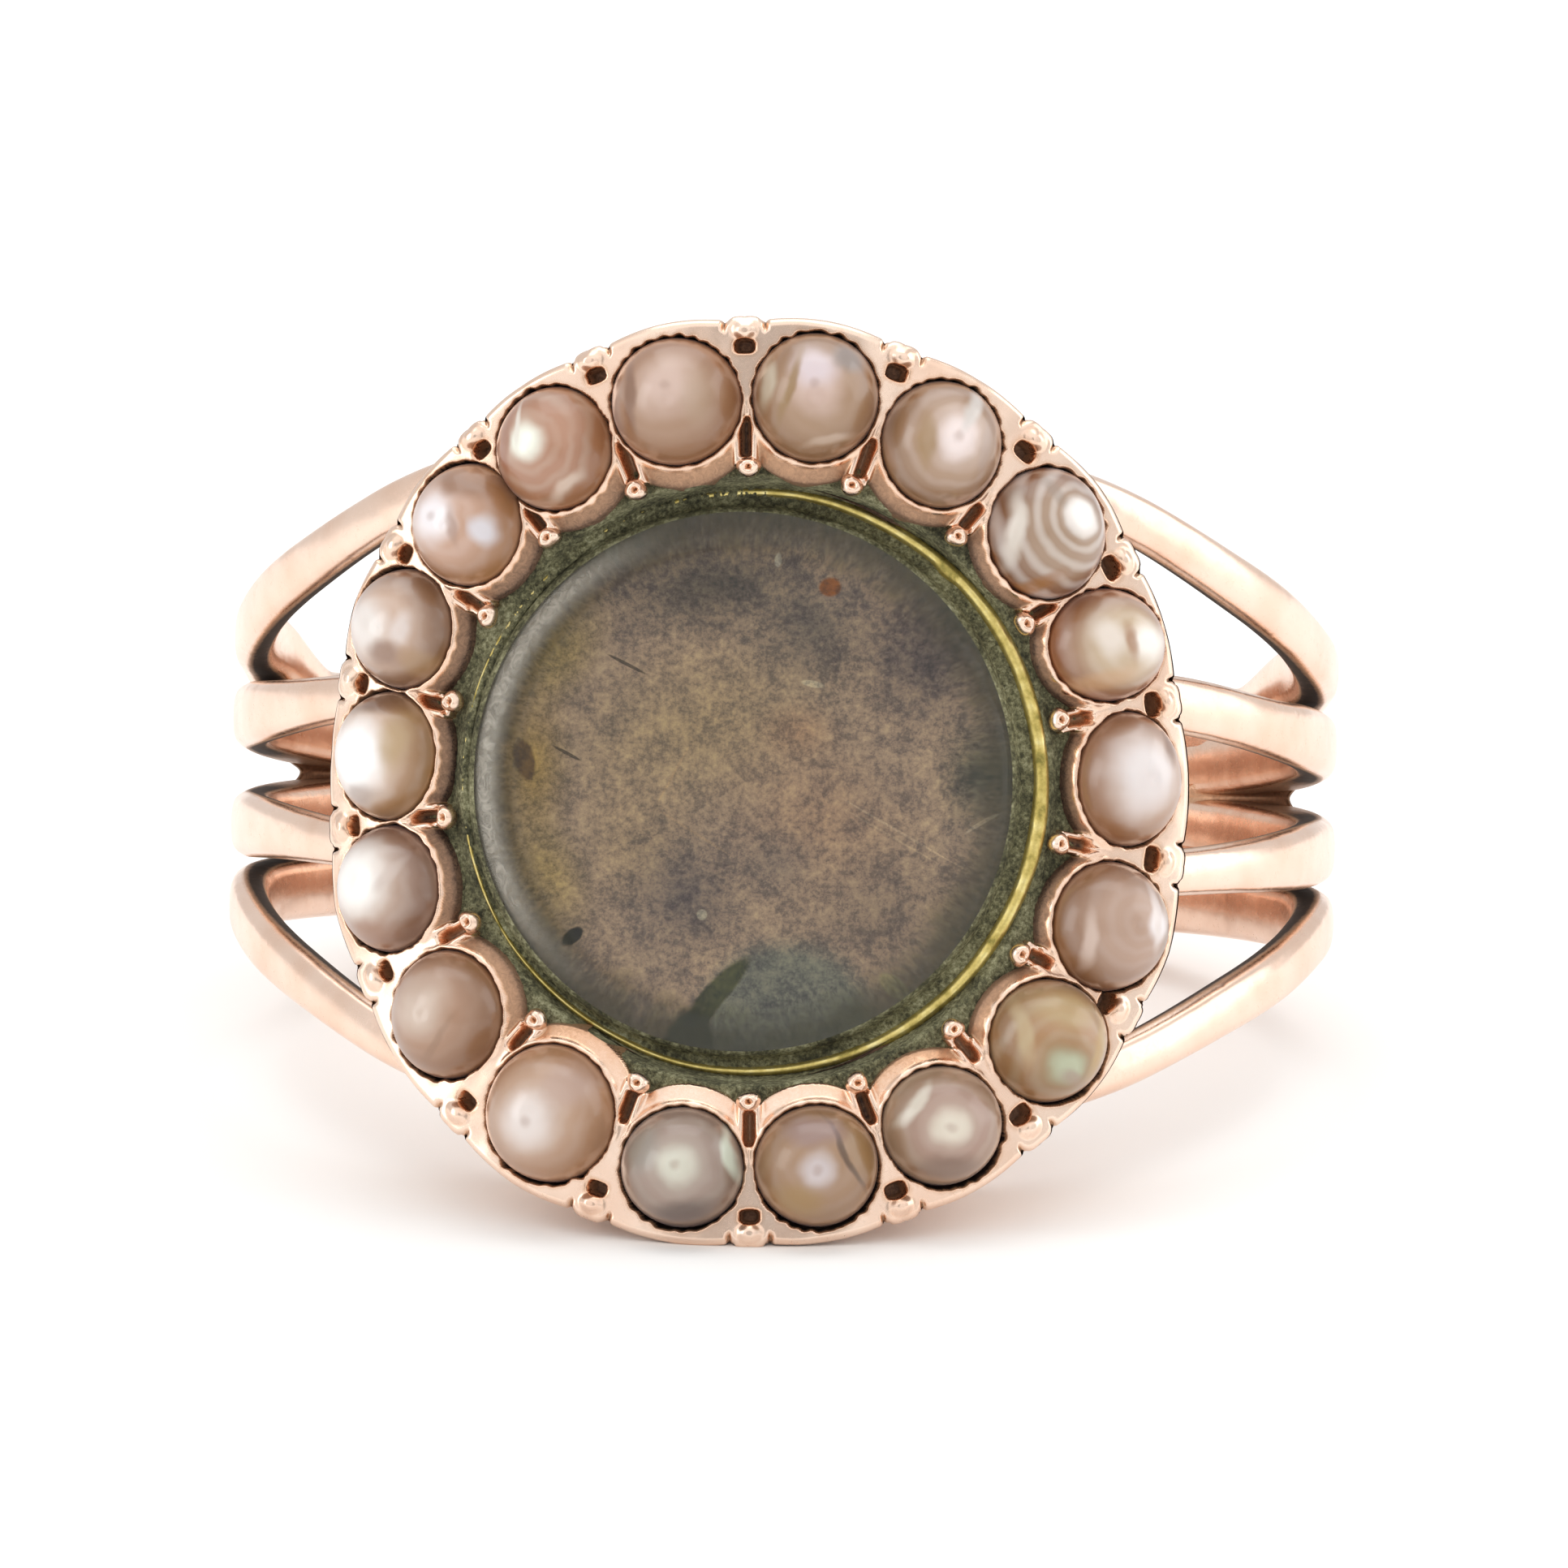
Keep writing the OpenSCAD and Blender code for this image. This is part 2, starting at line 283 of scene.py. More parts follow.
def polished_rose_gold(tree, bare, shade, dirt, scratch_scale):
    """Nine carat rose gold, raised by hand and worn bright: a pale pink mirror with fine scratches,
    small pits, and brown-black dirt that the polishing cloth never reached; the same dark colour
    serves as painted shade in recesses and on walls turned from the light."""
    place = put(tree, "TexCoord").outputs["Object"]
    # Scratches are about 0.02 mm apart, drawn at about 0.1 mm so that they show.
    scratch = put(tree, "TexNoise", {
        "Vector": place, "Scale": scratch_scale, "Detail": 4.0, "Roughness": 0.7, "Distortion": 1.5})
    # Soft dents of about 1.2 mm, left by wear.
    dent = put(tree, "TexNoise", {"Vector": place, "Scale": 800.0, "Detail": 2.0})
    # Pits of about 0.15 mm, a few to each square millimetre.
    pits = put(tree, "TexVoronoi", {"Vector": place, "Scale": 1500.0, "Randomness": 1.0})
    pit = put(tree, "MapRange", {
        "Value": pits, "From Min": 0.05, "From Max": 0.16, "To Min": 1.0, "To Max": 0.0})
    tint = put(tree, "ValToRGB", {"Fac": dent}, stops=[(0.3, shade), (0.62, bare)])
    grime_and_shade = put(tree, "Attribute", attribute_name="grime_and_shade").outputs["Fac"]
    # The edge of the dirt and painted shade wanders with the scratches; a thin film of it only warms the
    # metal to a salmon tint, which is painted shade as much as dirt.
    ragged = put(tree, "Math", {0: scratch, 1: 0.4, 2: grime_and_shade}, operation="MULTIPLY_ADD")
    film = put(tree, "MapRange", {"Value": ragged, "From Min": 0.22, "From Max": 0.66})
    thick = put(tree, "MapRange", {"Value": ragged, "From Min": 0.56, "From Max": 1.12})
    filmed = put(tree, "Mix", {0: film, 6: tint, 7: "#D9AB88"}, data_type="RGBA")
    # The dirt colour stands both for thick dirt and for the deepest painted shade.
    colour = put(tree, "Mix", {0: thick, 6: filmed, 7: dirt}, data_type="RGBA")
    metal = put(tree, "MapRange", {"Value": thick, "To Min": 1.0, "To Max": 0.15})
    rough = put(tree, "MapRange", {
        "Value": scratch, "From Min": 0.3, "From Max": 0.75, "To Min": 0.20, "To Max": 0.30})
    rough_dirt_and_shade = put(tree, "Mix", {0: thick, 2: rough, 3: 0.7}, data_type="FLOAT")
    low = put(tree, "Bump", {"Height": dent, "Strength": 0.5, "Distance": 0.00008})
    fine = put(tree, "Bump", {"Height": scratch, "Normal": low, "Strength": 0.10, "Distance": 0.000008})
    pitted = put(tree, "Bump", {
        "Height": pit, "Normal": fine, "Strength": 0.15, "Distance": 0.00002}, invert=True)
    return put(tree, "BsdfPrincipled", {
        "Base Color": colour, "Metallic": metal, "Roughness": rough_dirt_and_shade, "Normal": pitted})


rose_gold_worn = make_material("rose_gold_worn_bright", polished_rose_gold,
                               "#F6DBC7", "#F1CFB8", "#33221A", 9000.0)
rose_gold_wire = make_material("rose_gold_drawn_wire", polished_rose_gold,
                               "#F8DCC9", "#F0CDB6", "#2A1C12", 7000.0)


def gilt_brass(tree):
    """Gilt brass, rolled thin and tarnished: yellow-green where it is rubbed, olive where it isn't."""
    place = put(tree, "TexCoord").outputs["Object"]
    # Patches of tarnish about 0.4 mm across.
    patches = put(tree, "TexNoise", {"Vector": place, "Scale": 2500.0, "Detail": 5.0, "Roughness": 0.65})
    colour = put(tree, "ValToRGB", {"Fac": patches}, stops=[
        (0.30, "#8A8044"), (0.42, "#C2AE62"), (0.55, "#E0CC80"), (0.7, "#F4E6A6")])
    rough = put(tree, "MapRange", {
        "Value": patches, "From Min": 0.3, "From Max": 0.7, "To Min": 0.55, "To Max": 0.28})
    bump = put(tree, "Bump", {"Height": patches, "Strength": 0.5, "Distance": 0.00003})
    return put(tree, "BsdfPrincipled", {
        "Base Color": colour, "Metallic": 0.9, "Roughness": rough, "Normal": bump})


def verdigris(tree):
    """Verdigris packed with old dirt: a dull black-green crumb with paler green specks."""
    place = put(tree, "TexCoord").outputs["Object"]
    # Crumbs of about 0.09 mm, in drifts of about 0.6 mm.
    crumbs = put(tree, "TexNoise", {"Vector": place, "Scale": 11000.0, "Detail": 4.0, "Roughness": 0.75})
    drifts = put(tree, "TexNoise", {"Vector": place, "Scale": 1600.0, "Detail": 2.0})
    mixed = put(tree, "Mix", {0: 0.35, 2: crumbs, 3: drifts}, data_type="FLOAT")
    colour = put(tree, "ValToRGB", {"Fac": mixed}, stops=[
        (0.36, "#2A2917"), (0.46, "#545239"), (0.55, "#7E7B5A"), (0.64, "#A6A483"),
        (0.74, "#C8CAAC")])
    bump = put(tree, "Bump", {"Height": crumbs, "Strength": 0.9, "Distance": 0.00006})
    return put(tree, "BsdfPrincipled", {"Base Color": colour, "Roughness": 0.85, "Normal": bump})


def locket_glass(tree):
    """Crown glass, ground and polished: clear on top and a little dull on the ground bevel."""
    place = put(tree, "TexCoord").outputs["Object"]
    ground = put(tree, "Attribute", attribute_name="ground").outputs["Fac"]
    # Hairline scratches about 0.3 mm apart.
    hairs = put(tree, "TexNoise", {"Vector": place, "Scale": 3500.0, "Detail": 4.0, "Distortion": 2.5})
    bump = put(tree, "Bump", {"Height": hairs, "Strength": 0.02, "Distance": 0.000002})
    dull = put(tree, "Math", {0: ground, 1: 0.06}, operation="MULTIPLY")
    # The ground bevel's reflections are tinted darker: painted shade on the bevel.
    dim = put(tree, "Mix", {0: ground, 6: "#FFFFFF", 7: "#5A5A52"}, data_type="RGBA")
    glass = put(tree, "BsdfPrincipled", {
        "Base Color": "#F6F6F0", "Roughness": dull, "IOR": 1.46, "Specular Tint": dim,
        "Transmission Weight": 1.0, "Normal": bump})
    # Along the left a pale cloudy patch is laid on the bevel: partly lost polish and partly a painted
    # reflection of the light at the left.
    haze_and_reflection = put(tree, "Attribute", attribute_name="haze_and_reflection").outputs["Fac"]
    worn = put(tree, "Math", {0: hairs, 1: haze_and_reflection}, operation="MULTIPLY")
    cloudy = put(tree, "BsdfPrincipled", {"Base Color": "#C9C2B4", "Roughness": 0.4})
    glass = put(tree, "MixShader", {0: worn, 1: glass, 2: cloudy})
    # Lamps shine straight through to the backing.
    lamp_ray = put(tree, "LightPath").outputs["Is Shadow Ray"]
    clear = put(tree, "BsdfTransparent", {"Color": "#EEEFE8"})
    return put(tree, "MixShader", {0: lamp_ray, 1: glass, 2: clear})


# Stains of the backing: place and half sizes in millimetres, turn in degrees, colour, strength.
STAINS = [
    (-0.9, 0.9, 2.6, 1.5, 20, "#D9C294", 0.60),
    (1.3, -0.6, 1.7, 1.4, -20, "#D6B298", 0.60),
    (-1.9, -1.2, 1.2, 1.0, 0, "#D3BC98", 0.50),
    (-0.6, 3.4, 1.9, 0.8, 8, "#545150", 0.90),
    (1.1, 2.7, 1.2, 1.0, -20, "#6C696C", 0.80),
    (3.0, 2.3, 1.3, 1.4, 30, "#6A6068", 0.85),
    (-1.0, -2.0, 1.1, 1.2, 20, "#77707A", 0.80),
    (0.6, -1.4, 0.8, 0.6, 0, "#8C8488", 0.60),
    (2.4, -2.3, 1.6, 1.2, 30, "#A08E84", 0.60),
    (-3.3, 2.1, 0.6, 1.1, -35, "#E0C87C", 0.85),
    (-3.7, 0.2, 0.6, 1.3, 0, "#D8B860", 0.90),
    (-3.4, -1.6, 0.6, 1.2, 22, "#DCC480", 0.85),
    (3.95, 0.2, 0.6, 1.0, 0, "#525C52", 0.90),
    (3.9, -1.9, 0.5, 1.3, -25, "#7E6E4C", 0.70),
    (0.9, 0.9, 0.7, 0.5, 0, "#DBAE8C", 0.50),
]
# Spots, lines and the bare patch at the foot of the backing, which have firm edges.
MARKS = [
    (-3.82, 0.30, 0.16, 0.36, 10, "#6A4410", 0.80),
    (0.80, -4.15, 1.50, 1.38, 0, "#969C96", 1.00),
    (-0.42, -3.66, 0.20, 0.80, -42, "#4E5632", 0.95),
    (-0.85, -4.3, 0.42, 0.42, 0, "#2C342A", 1.00),
    (2.5, -3.3, 0.18, 0.13, 0, "#D4CEA2", 0.90),
    (1.4, 3.4, 0.19, 0.16, 0, "#B06A28", 1.00),
    (-2.9, -2.7, 0.15, 0.12, 30, "#221E16", 1.00),
    (-3.1, 0.43, 0.27, 0.03, -27, "#3A2E20", 0.80),
    (-2.1, 2.0, 0.38, 0.03, -26, "#3E342E", 0.80),
    (-2.24, 3.72, 0.12, 0.17, 0, "#E6E8DC", 0.85),
    (0.49, 3.83, 0.06, 0.10, 0, "#E0E0D4", 0.80),
    (1.14, 1.72, 0.20, 0.06, -10, "#F4EAD0", 0.90),
    (-0.70, -2.32, 0.09, 0.09, 0, "#F0ECD8", 0.90),
    (2.71, -0.82, 1.13, 0.022, -29, "#F0DAC0", 0.80),
    (2.64, -0.94, 0.95, 0.018, -29, "#E6D0B6", 0.70),
    (3.97, -0.62, 0.26, 0.025, 48, "#F0E2CC", 0.80),
    (-1.25, 0.10, 0.62, 0.022, 62, "#E6C8A2", 0.65),
    (-0.88, -0.89, 0.78, 0.022, -31, "#E2C6A6", 0.60),
]


def lay_patch(tree, colour, place, patch, near, far, ragged=None):
    """Lays a soft oval over a colour: place, half sizes, turn in degrees, tint and strength. It fades
    between two distances, where 1 is its own edge; ragged is what frays the edge, and how much."""
    x, y, wide, high, tilt, tint, strength = patch
    spot = put(tree, "Mapping", {
        "Vector": place, "Location": (x, y, 0), "Rotation": (0, 0, math.radians(tilt)),
        "Scale": (wide, high, 1)}, vector_type="TEXTURE")
    away = put(tree, "VectorMath", {0: spot}, operation="LENGTH")
    if ragged:
        away = put(tree, "Math", {0: ragged[0], 1: ragged[1], 2: away}, operation="MULTIPLY_ADD")
    fade = put(tree, "MapRange", {
        "Value": away, "From Min": near, "From Max": far, "To Min": strength, "To Max": 0.0},
        interpolation_type="SMOOTHSTEP")
    return put(tree, "Mix", {0: fade, 6: colour, 7: tint}, data_type="RGBA")


def stained_paper(tree):
    """Rag paper that damp has reached: grey-brown felt with ochre flecks, blue-grey clouds and rust."""
    place = put(tree, "Attribute", attribute_name="on_backing").outputs["Vector"]
    # Blotches of about 0.6 mm and felted fibres of about 0.1 mm.
    blotch = put(tree, "TexNoise", {"Vector": place, "Scale": 1.7, "Detail": 5.0, "Roughness": 0.62})
    felt = put(tree, "TexNoise", {"Vector": place, "Scale": 8.0, "Detail": 5.0, "Roughness": 0.8})
    fibre = put(tree, "Mix", {0: 0.58, 2: blotch, 3: felt}, data_type="FLOAT")
    pearl_patch = put(tree, "TexNoise", {"Vector": place, "Scale": 0.7, "Detail": 3.0})
    colour = put(tree, "Mix", {0: pearl_patch, 6: "#E4CAB2", 7: "#B8A8A0"}, data_type="RGBA")
    for stain in STAINS:
        colour = lay_patch(tree, colour, place, stain, 0.5, 2.0, ragged=(fibre, 1.2))
    for mark in MARKS:
        colour = lay_patch(tree, colour, place, mark, 0.95, 1.325, ragged=(fibre, 0.3))
    # Damp drew the size out of the paper in a slate to ochre mottle.
    mottle = put(tree, "ValToRGB", {"Fac": fibre}, stops=[
        (0.38, "#8A858E"), (0.46, "#B4ACAC"), (0.52, "#DCD0C8"), (0.62, "#FFF4DE")])
    colour = put(tree, "Mix", {0: 1.0, 6: colour, 7: mottle}, data_type="RGBA", blend_type="MULTIPLY")
    # Round its edge the paper is black with dirt from the channel.
    from_middle = put(tree, "VectorMath", {0: place}, operation="LENGTH")
    crept = put(tree, "Math", {0: blotch, 1: 0.6, 2: from_middle}, operation="MULTIPLY_ADD")
    edge = put(tree, "MapRange", {
        "Value": crept, "From Min": 4.1, "From Max": 4.6, "To Min": 0.0, "To Max": 0.85},
        interpolation_type="SMOOTHSTEP")
    colour = put(tree, "Mix", {0: edge, 6: colour, 7: "#34321F"}, data_type="RGBA")
    bump = put(tree, "Bump", {"Height": felt, "Strength": 0.4, "Distance": 0.00004})
    return put(tree, "BsdfPrincipled", {"Base Color": colour, "Roughness": 0.9, "Normal": bump})


# Looks of the half pearls: the painted highlight's place and half size in radii (x right, y up), the
# strength and middle of the growth rings, and the colours of body, edge and highlight. The edge colour
# is partly the pearl's own and partly painted shade.
NACRE = [
    (-0.03, 0.22, 0.40, 0.06, 0.0, 0.2, "#9F7B5F", "#8A5C36", "#C9AEA0"),
    (0.00, 0.15, 0.36, 0.06, 0.2, 0.1, "#9E7D5F", "#805933", "#C9AEA1"),
    (0.06, 0.12, 0.32, 0.14, 0.06, 0.1, "#A7886E", "#7F5A37", "#ECDDD9"),
    (0.29, 0.25, 0.24, 0.42, 0.28, 0.22, "#9F836B", "#744620", "#F2EDE8"),
    (0.38, 0.05, 0.30, 0.12, 0.1, 0.05, "#BFA88B", "#83481C", "#F0E9E1"),
    (-0.12, 0.08, 0.50, 0.06, 0.0, 0.0, "#AF8B70", "#86562E", "#E1D9D7"),
    (0.48, 0.05, 0.20, 0.07, 0.1, 0.1, "#AD8E7A", "#7E532C", "#E8E1E1"),
    (0.03, -0.36, 0.16, 0.16, 0.02, -0.36, "#A57E57", "#856039", "#C3C4AF"),
    (-0.04, 0.00, 0.30, 0.12, -0.04, 0.0, "#A08171", "#8D7155", "#D9CFBE"),
    (-0.02, -0.07, 0.26, 0.08, 0.0, 0.0, "#9A7859", "#866340", "#C7BBBA"),
    (0.02, 0.05, 0.30, 0.1, 0.02, 0.05, "#9B8679", "#7E6756", "#CECBBB"),
    (-0.08, -0.10, 0.38, 0.07, 0.0, 0.0, "#B4937A", "#996C45", "#DDD2CC"),
    (-0.10, 0.15, 0.40, 0.08, 0.0, 0.1, "#A47F65", "#805837", "#C9B5A5"),
    (-0.12, 0.10, 0.48, 0.08, 0.0, 0.0, "#B79D8C", "#724A2F", "#F6F3EE"),
    (-0.12, -0.05, 0.52, 0.07, 0.0, 0.0, "#C3A186", "#8D6331", "#FDFDFD"),
    (-0.25, 0.05, 0.38, 0.10, 0.0, 0.0, "#C3A692", "#744B25", "#E3DBD5"),
    (-0.25, 0.10, 0.36, 0.09, 0.0, 0.0, "#BD9780", "#936334", "#EDE8EA"),
    (-0.20, 0.12, 0.28, 0.12, -0.15, 0.1, "#A97B60", "#8F5D35", "#F2F6E8"),
]

# Clouds and streaks of single pearls, among them painted highlights and reflections (the pale, near-white
# patches) and painted shade (the dark patches on the tops of 15 and 17): pearl, place, half sizes in
# radii, turn in degrees, colour, strength.
CLOUDS_AND_PAINTED_LIGHT = [
    (1, -0.60, 0.10, 0.10, 0.62, 8, "#775138", 0.75), (1, -0.84, -0.08, 0.16, 0.45, 10, "#B29A8C", 0.7),
    (1, 0.45, 0.10, 0.25, 0.5, 0, "#B09880", 0.4),
    (2, -0.02, 0.42, 0.42, 0.34, 0, "#D2C4C8", 0.85), (2, -0.78, 0.18, 0.12, 0.42, -6, "#BFB29C", 0.8),
    (2, -0.42, 0.12, 0.09, 0.62, -16, "#8C6A36", 0.85), (2, 0.52, 0.60, 0.30, 0.22, -40, "#8A8482", 0.7),
    (2, 0.20, -0.66, 0.42, 0.08, 18, "#C4AC98", 0.6),
    (3, 0.36, 0.50, 0.14, 0.40, -38, "#CCC6C0", 0.8), (3, -0.42, 0.05, 0.14, 0.45, 0, "#94733E", 0.6),
    (3, 0.55, -0.10, 0.12, 0.5, -10, "#A69288", 0.5),
    (4, -0.70, 0.05, 0.13, 0.60, -4, "#D6CCC0", 0.9), (4, -0.35, -0.82, 0.50, 0.14, 24, "#94602E", 0.8),
    (4, -0.10, 0.62, 0.12, 0.30, 30, "#7E6A58", 0.5),
    (5, -0.30, 0.12, 0.26, 0.36, 10, "#E0D4C8", 0.9), (5, 0.04, 0.05, 0.12, 0.36, 12, "#9A6840", 0.7),
    (5, -0.30, -0.60, 0.55, 0.20, 20, "#C49A70", 0.6),
    (6, 0.55, 0.55, 0.20, 0.40, -35, "#7E5C48", 0.7), (6, -0.10, -0.25, 0.40, 0.40, 0, "#DCD0CC", 0.5),
    (7, 0.45, 0.15, 0.13, 0.50, 4, "#DCD0CA", 0.9), (7, -0.60, -0.22, 0.10, 0.46, 4, "#CDB6A8", 0.8),
    (7, 0.80, -0.25, 0.16, 0.60, -12, "#6E4E2C", 0.8), (7, 0.78, 0.40, 0.12, 0.3, 20, "#8E7444", 0.7),
    (8, 0.62, -0.10, 0.16, 0.60, -8, "#B8964E", 0.6), (8, 0.00, 0.50, 0.60, 0.32, 0, "#B49C6C", 0.6),
    (8, 0.04, -0.40, 0.50, 0.42, -10, "#7C6636", 0.75), (8, 0.02, -0.38, 0.36, 0.30, -10, "#AEB294", 1.0),
    (8, 0.12, -0.56, 0.26, 0.14, -20, "#9A8272", 0.7), (8, -0.62, 0.10, 0.12, 0.50, 4, "#C0AC84", 0.6),
    (9, -0.60, 0.35, 0.10, 0.45, -30, "#DAD4C4", 0.7), (9, 0.0, -0.70, 0.6, 0.22, 0, "#6E5240", 0.7),
    (10, 0.42, 0.18, 0.06, 0.75, 30, "#4E3318", 0.85), (10, 0.70, 0.25, 0.22, 0.62, 26, "#8A6632", 0.7),
    (10, -0.30, -0.55, 0.45, 0.26, -14, "#97753C", 0.7), (10, -0.1, 0.55, 0.5, 0.25, 0, "#8A7070", 0.6),
    (11, 0.80, 0.22, 0.10, 0.50, 14, "#D2DAC8", 0.85), (11, 0.10, -0.72, 0.6, 0.24, 6, "#544238", 0.8),
    (11, -0.55, 0.30, 0.3, 0.4, 0, "#8A8A80", 0.5),
    (12, 0.45, 0.40, 0.35, 0.35, 0, "#B49A90", 0.5), (13, 0.1, -0.5, 0.7, 0.06, 50, "#8C6A50", 0.5),
    (13, -0.2, 0.5, 0.5, 0.3, 0, "#AA8C78", 0.5),
    (14, 0.00, -0.70, 0.55, 0.22, 0, "#9A7056", 0.7), (14, 0.45, 0.20, 0.12, 0.30, -30, "#C6B6AC", 0.7),
    (15, -0.05, 0.78, 0.6, 0.18, 0, "#72503A", 0.8), (15, 0.55, 0.20, 0.25, 0.5, 0, "#B09468", 0.7),
    (15, -0.15, -0.62, 0.45, 0.18, 10, "#8E7668", 0.6),
    (16, 0.42, -0.02, 0.20, 0.30, -20, "#DCD0CA", 0.85), (16, 0.10, -0.40, 0.35, 0.22, 0, "#84624E", 0.75),
    (16, 0.55, -0.55, 0.25, 0.25, 0, "#A8845A", 0.6),
    (17, 0.62, -0.08, 0.20, 0.26, 0, "#D8D6DC", 0.85), (17, 0.10, 0.65, 0.55, 0.22, -14, "#7E5638", 0.7),
    (17, 0.15, -0.05, 0.12, 0.35, 10, "#9A7A6A", 0.6),
    (18, -0.38, 0.30, 0.07, 0.40, 12, "#DED8CC", 0.8), (18, 0.42, -0.58, 0.36, 0.10, 42, "#D2BCAA", 0.8),
    (18, -0.62, -0.02, 0.13, 0.6, 0, "#8E5028", 0.6), (18, 0.45, 0.35, 0.30, 0.35, 0, "#B4866A", 0.5),
]

# The pearls with a dark dimple in the middle of their painted highlight.
DIMPLED = (1, 2, 3, 9, 10, 11, 12, 17)


def nacre(tree, number):
    """Natural half pearl under a soft polish: a cloudy bright heart that is a painted highlight, faint
    growth rings of nacre, and a warm brown edge that is partly painted shade."""
    highlight_x, highlight_y, highlight_half, rings, rings_x, rings_y, body, edge_colour_and_shade, gleam = NACRE[number - 1]
    place = put(tree, "Attribute", attribute_name="on_pearl").outputs["Vector"]
    waves = put(tree, "TexNoise", {
        "Vector": place, "W": number * 3.7, "Scale": 1.6, "Detail": 2.0}, noise_dimensions="4D")
    # The waver keeps the rings from being true circles.
    waver = put(tree, "VectorMath", {0: waves.outputs["Color"], 1: (0.5, 0.5, 0.5)}, operation="SUBTRACT")
    waver = put(tree, "VectorMath", {0: waver, 1: (0.28, 0.28, 0.0), 2: place}, operation="MULTIPLY_ADD")
    from_middle = put(tree, "VectorMath", {0: place}, operation="LENGTH")
    from_highlight = put(tree, "VectorMath", {0: waver, 1: (highlight_x, highlight_y, 0.0)}, operation="DISTANCE")
    from_rings = put(tree, "VectorMath", {0: waver, 1: (rings_x, rings_y, 0.0)}, operation="DISTANCE")
    # Browner towards the edge: partly the pearl's own colour, partly painted shade where the dome turns
    # away.
    edge = put(tree, "MapRange", {
        "Value": from_middle, "From Min": 0.45, "From Max": 1.0, "To Max": 0.95},
        interpolation_type="SMOOTHSTEP")
    colour = put(tree, "Mix", {0: edge, 6: body, 7: edge_colour_and_shade}, data_type="RGBA")
    # Growth rings about 0.25 mm apart, some deeper than others.
    uneven = put(tree, "Math", {0: from_rings, 1: 26.0}, operation="MULTIPLY")
    uneven = put(tree, "Math", {0: waves, 1: 3.0, 2: uneven}, operation="MULTIPLY_ADD")
    bands = put(tree, "Math", {0: uneven}, operation="SINE")
    bands = put(tree, "MapRange", {
        "Value": bands, "From Min": -0.6, "To Min": 0.0, "To Max": rings * 0.75})
    colour = put(tree, "Mix", {0: bands, 6: colour, 7: gleam}, data_type="RGBA")
    # The bright heart is a painted highlight.
    painted_highlight = put(tree, "MapRange", {
        "Value": from_highlight, "From Min": highlight_half * 0.45, "From Max": highlight_half * 1.7, "To Min": 0.95,
        "To Max": 0.0}, interpolation_type="SMOOTHSTEP")
    colour = put(tree, "Mix", {0: painted_highlight, 6: colour, 7: gleam}, data_type="RGBA")
    # Clouds and streaks, with painted highlights, reflections and shade among them.
    for pearl, *pearl_patch in CLOUDS_AND_PAINTED_LIGHT:
        if pearl == number:
            colour = lay_patch(tree, colour, waver, pearl_patch, 0.35, 1.35)
    # A dimple about 0.15 mm across at the middle of the painted highlight of some.
    dimple = put(tree, "MapRange", {
        "Value": from_highlight, "From Min": 0.02, "From Max": 0.14,
        "To Min": 0.34 if number in DIMPLED else 0.04, "To Max": 0.0}, interpolation_type="SMOOTHSTEP")
    colour = put(tree, "Mix", {0: dimple, 6: colour, 7: "#957464"}, data_type="RGBA")
    bump = put(tree, "Bump", {"Height": bands, "Strength": 0.25, "Distance": 0.00004})
    return put(tree, "BsdfPrincipled", {
        "Base Color": colour, "Roughness": 0.30, "IOR": 1.6, "Normal": bump, "Subsurface Weight": 0.10,
        "Subsurface Radius": (0.0006, 0.0004, 0.0003), "Subsurface Scale": 1.0, "Coat Weight": 0.45,
        "Coat Roughness": 0.12, "Sheen Weight": 0.10, "Sheen Tint": "#E9D9EE"})


# The head

COLUMNS = 1440
WALL_ROWS = 26
UNDER_ROWS = 14
# Where the two pieces of the head's front meet.
FACE_SPLIT = 6.85
EDGE_ROUND = 0.14
SEAT_DEPTH = 0.38
# The ribs down the wall between the pearls, with a nick at each side.
RIB_HALF = 0.27
RIB_LENGTH = 1.7
NOTCH_AWAY = 0.36


def rib_offset(p, reach):
    """Distance along the outline from the nearest dip between two pearls, in millimetres."""
    i = np.floor(p)
    return (turn(p) - turn(i + 0.5)) * reach


def outline(p):
    """The scalloped rim, with a small rounded bump over each rib and a nick on each side of it."""
    reach = rim_reach(p)
    s = rib_offset(p, reach)
    bump = 0.10 * np.sqrt(np.clip(1 - (s / RIB_HALF) ** 2, 0, 1))
    nick = 0.05 * (hump(s - NOTCH_AWAY, 0.04) + hump(s + NOTCH_AWAY, 0.04))
    return reach + bump - nick


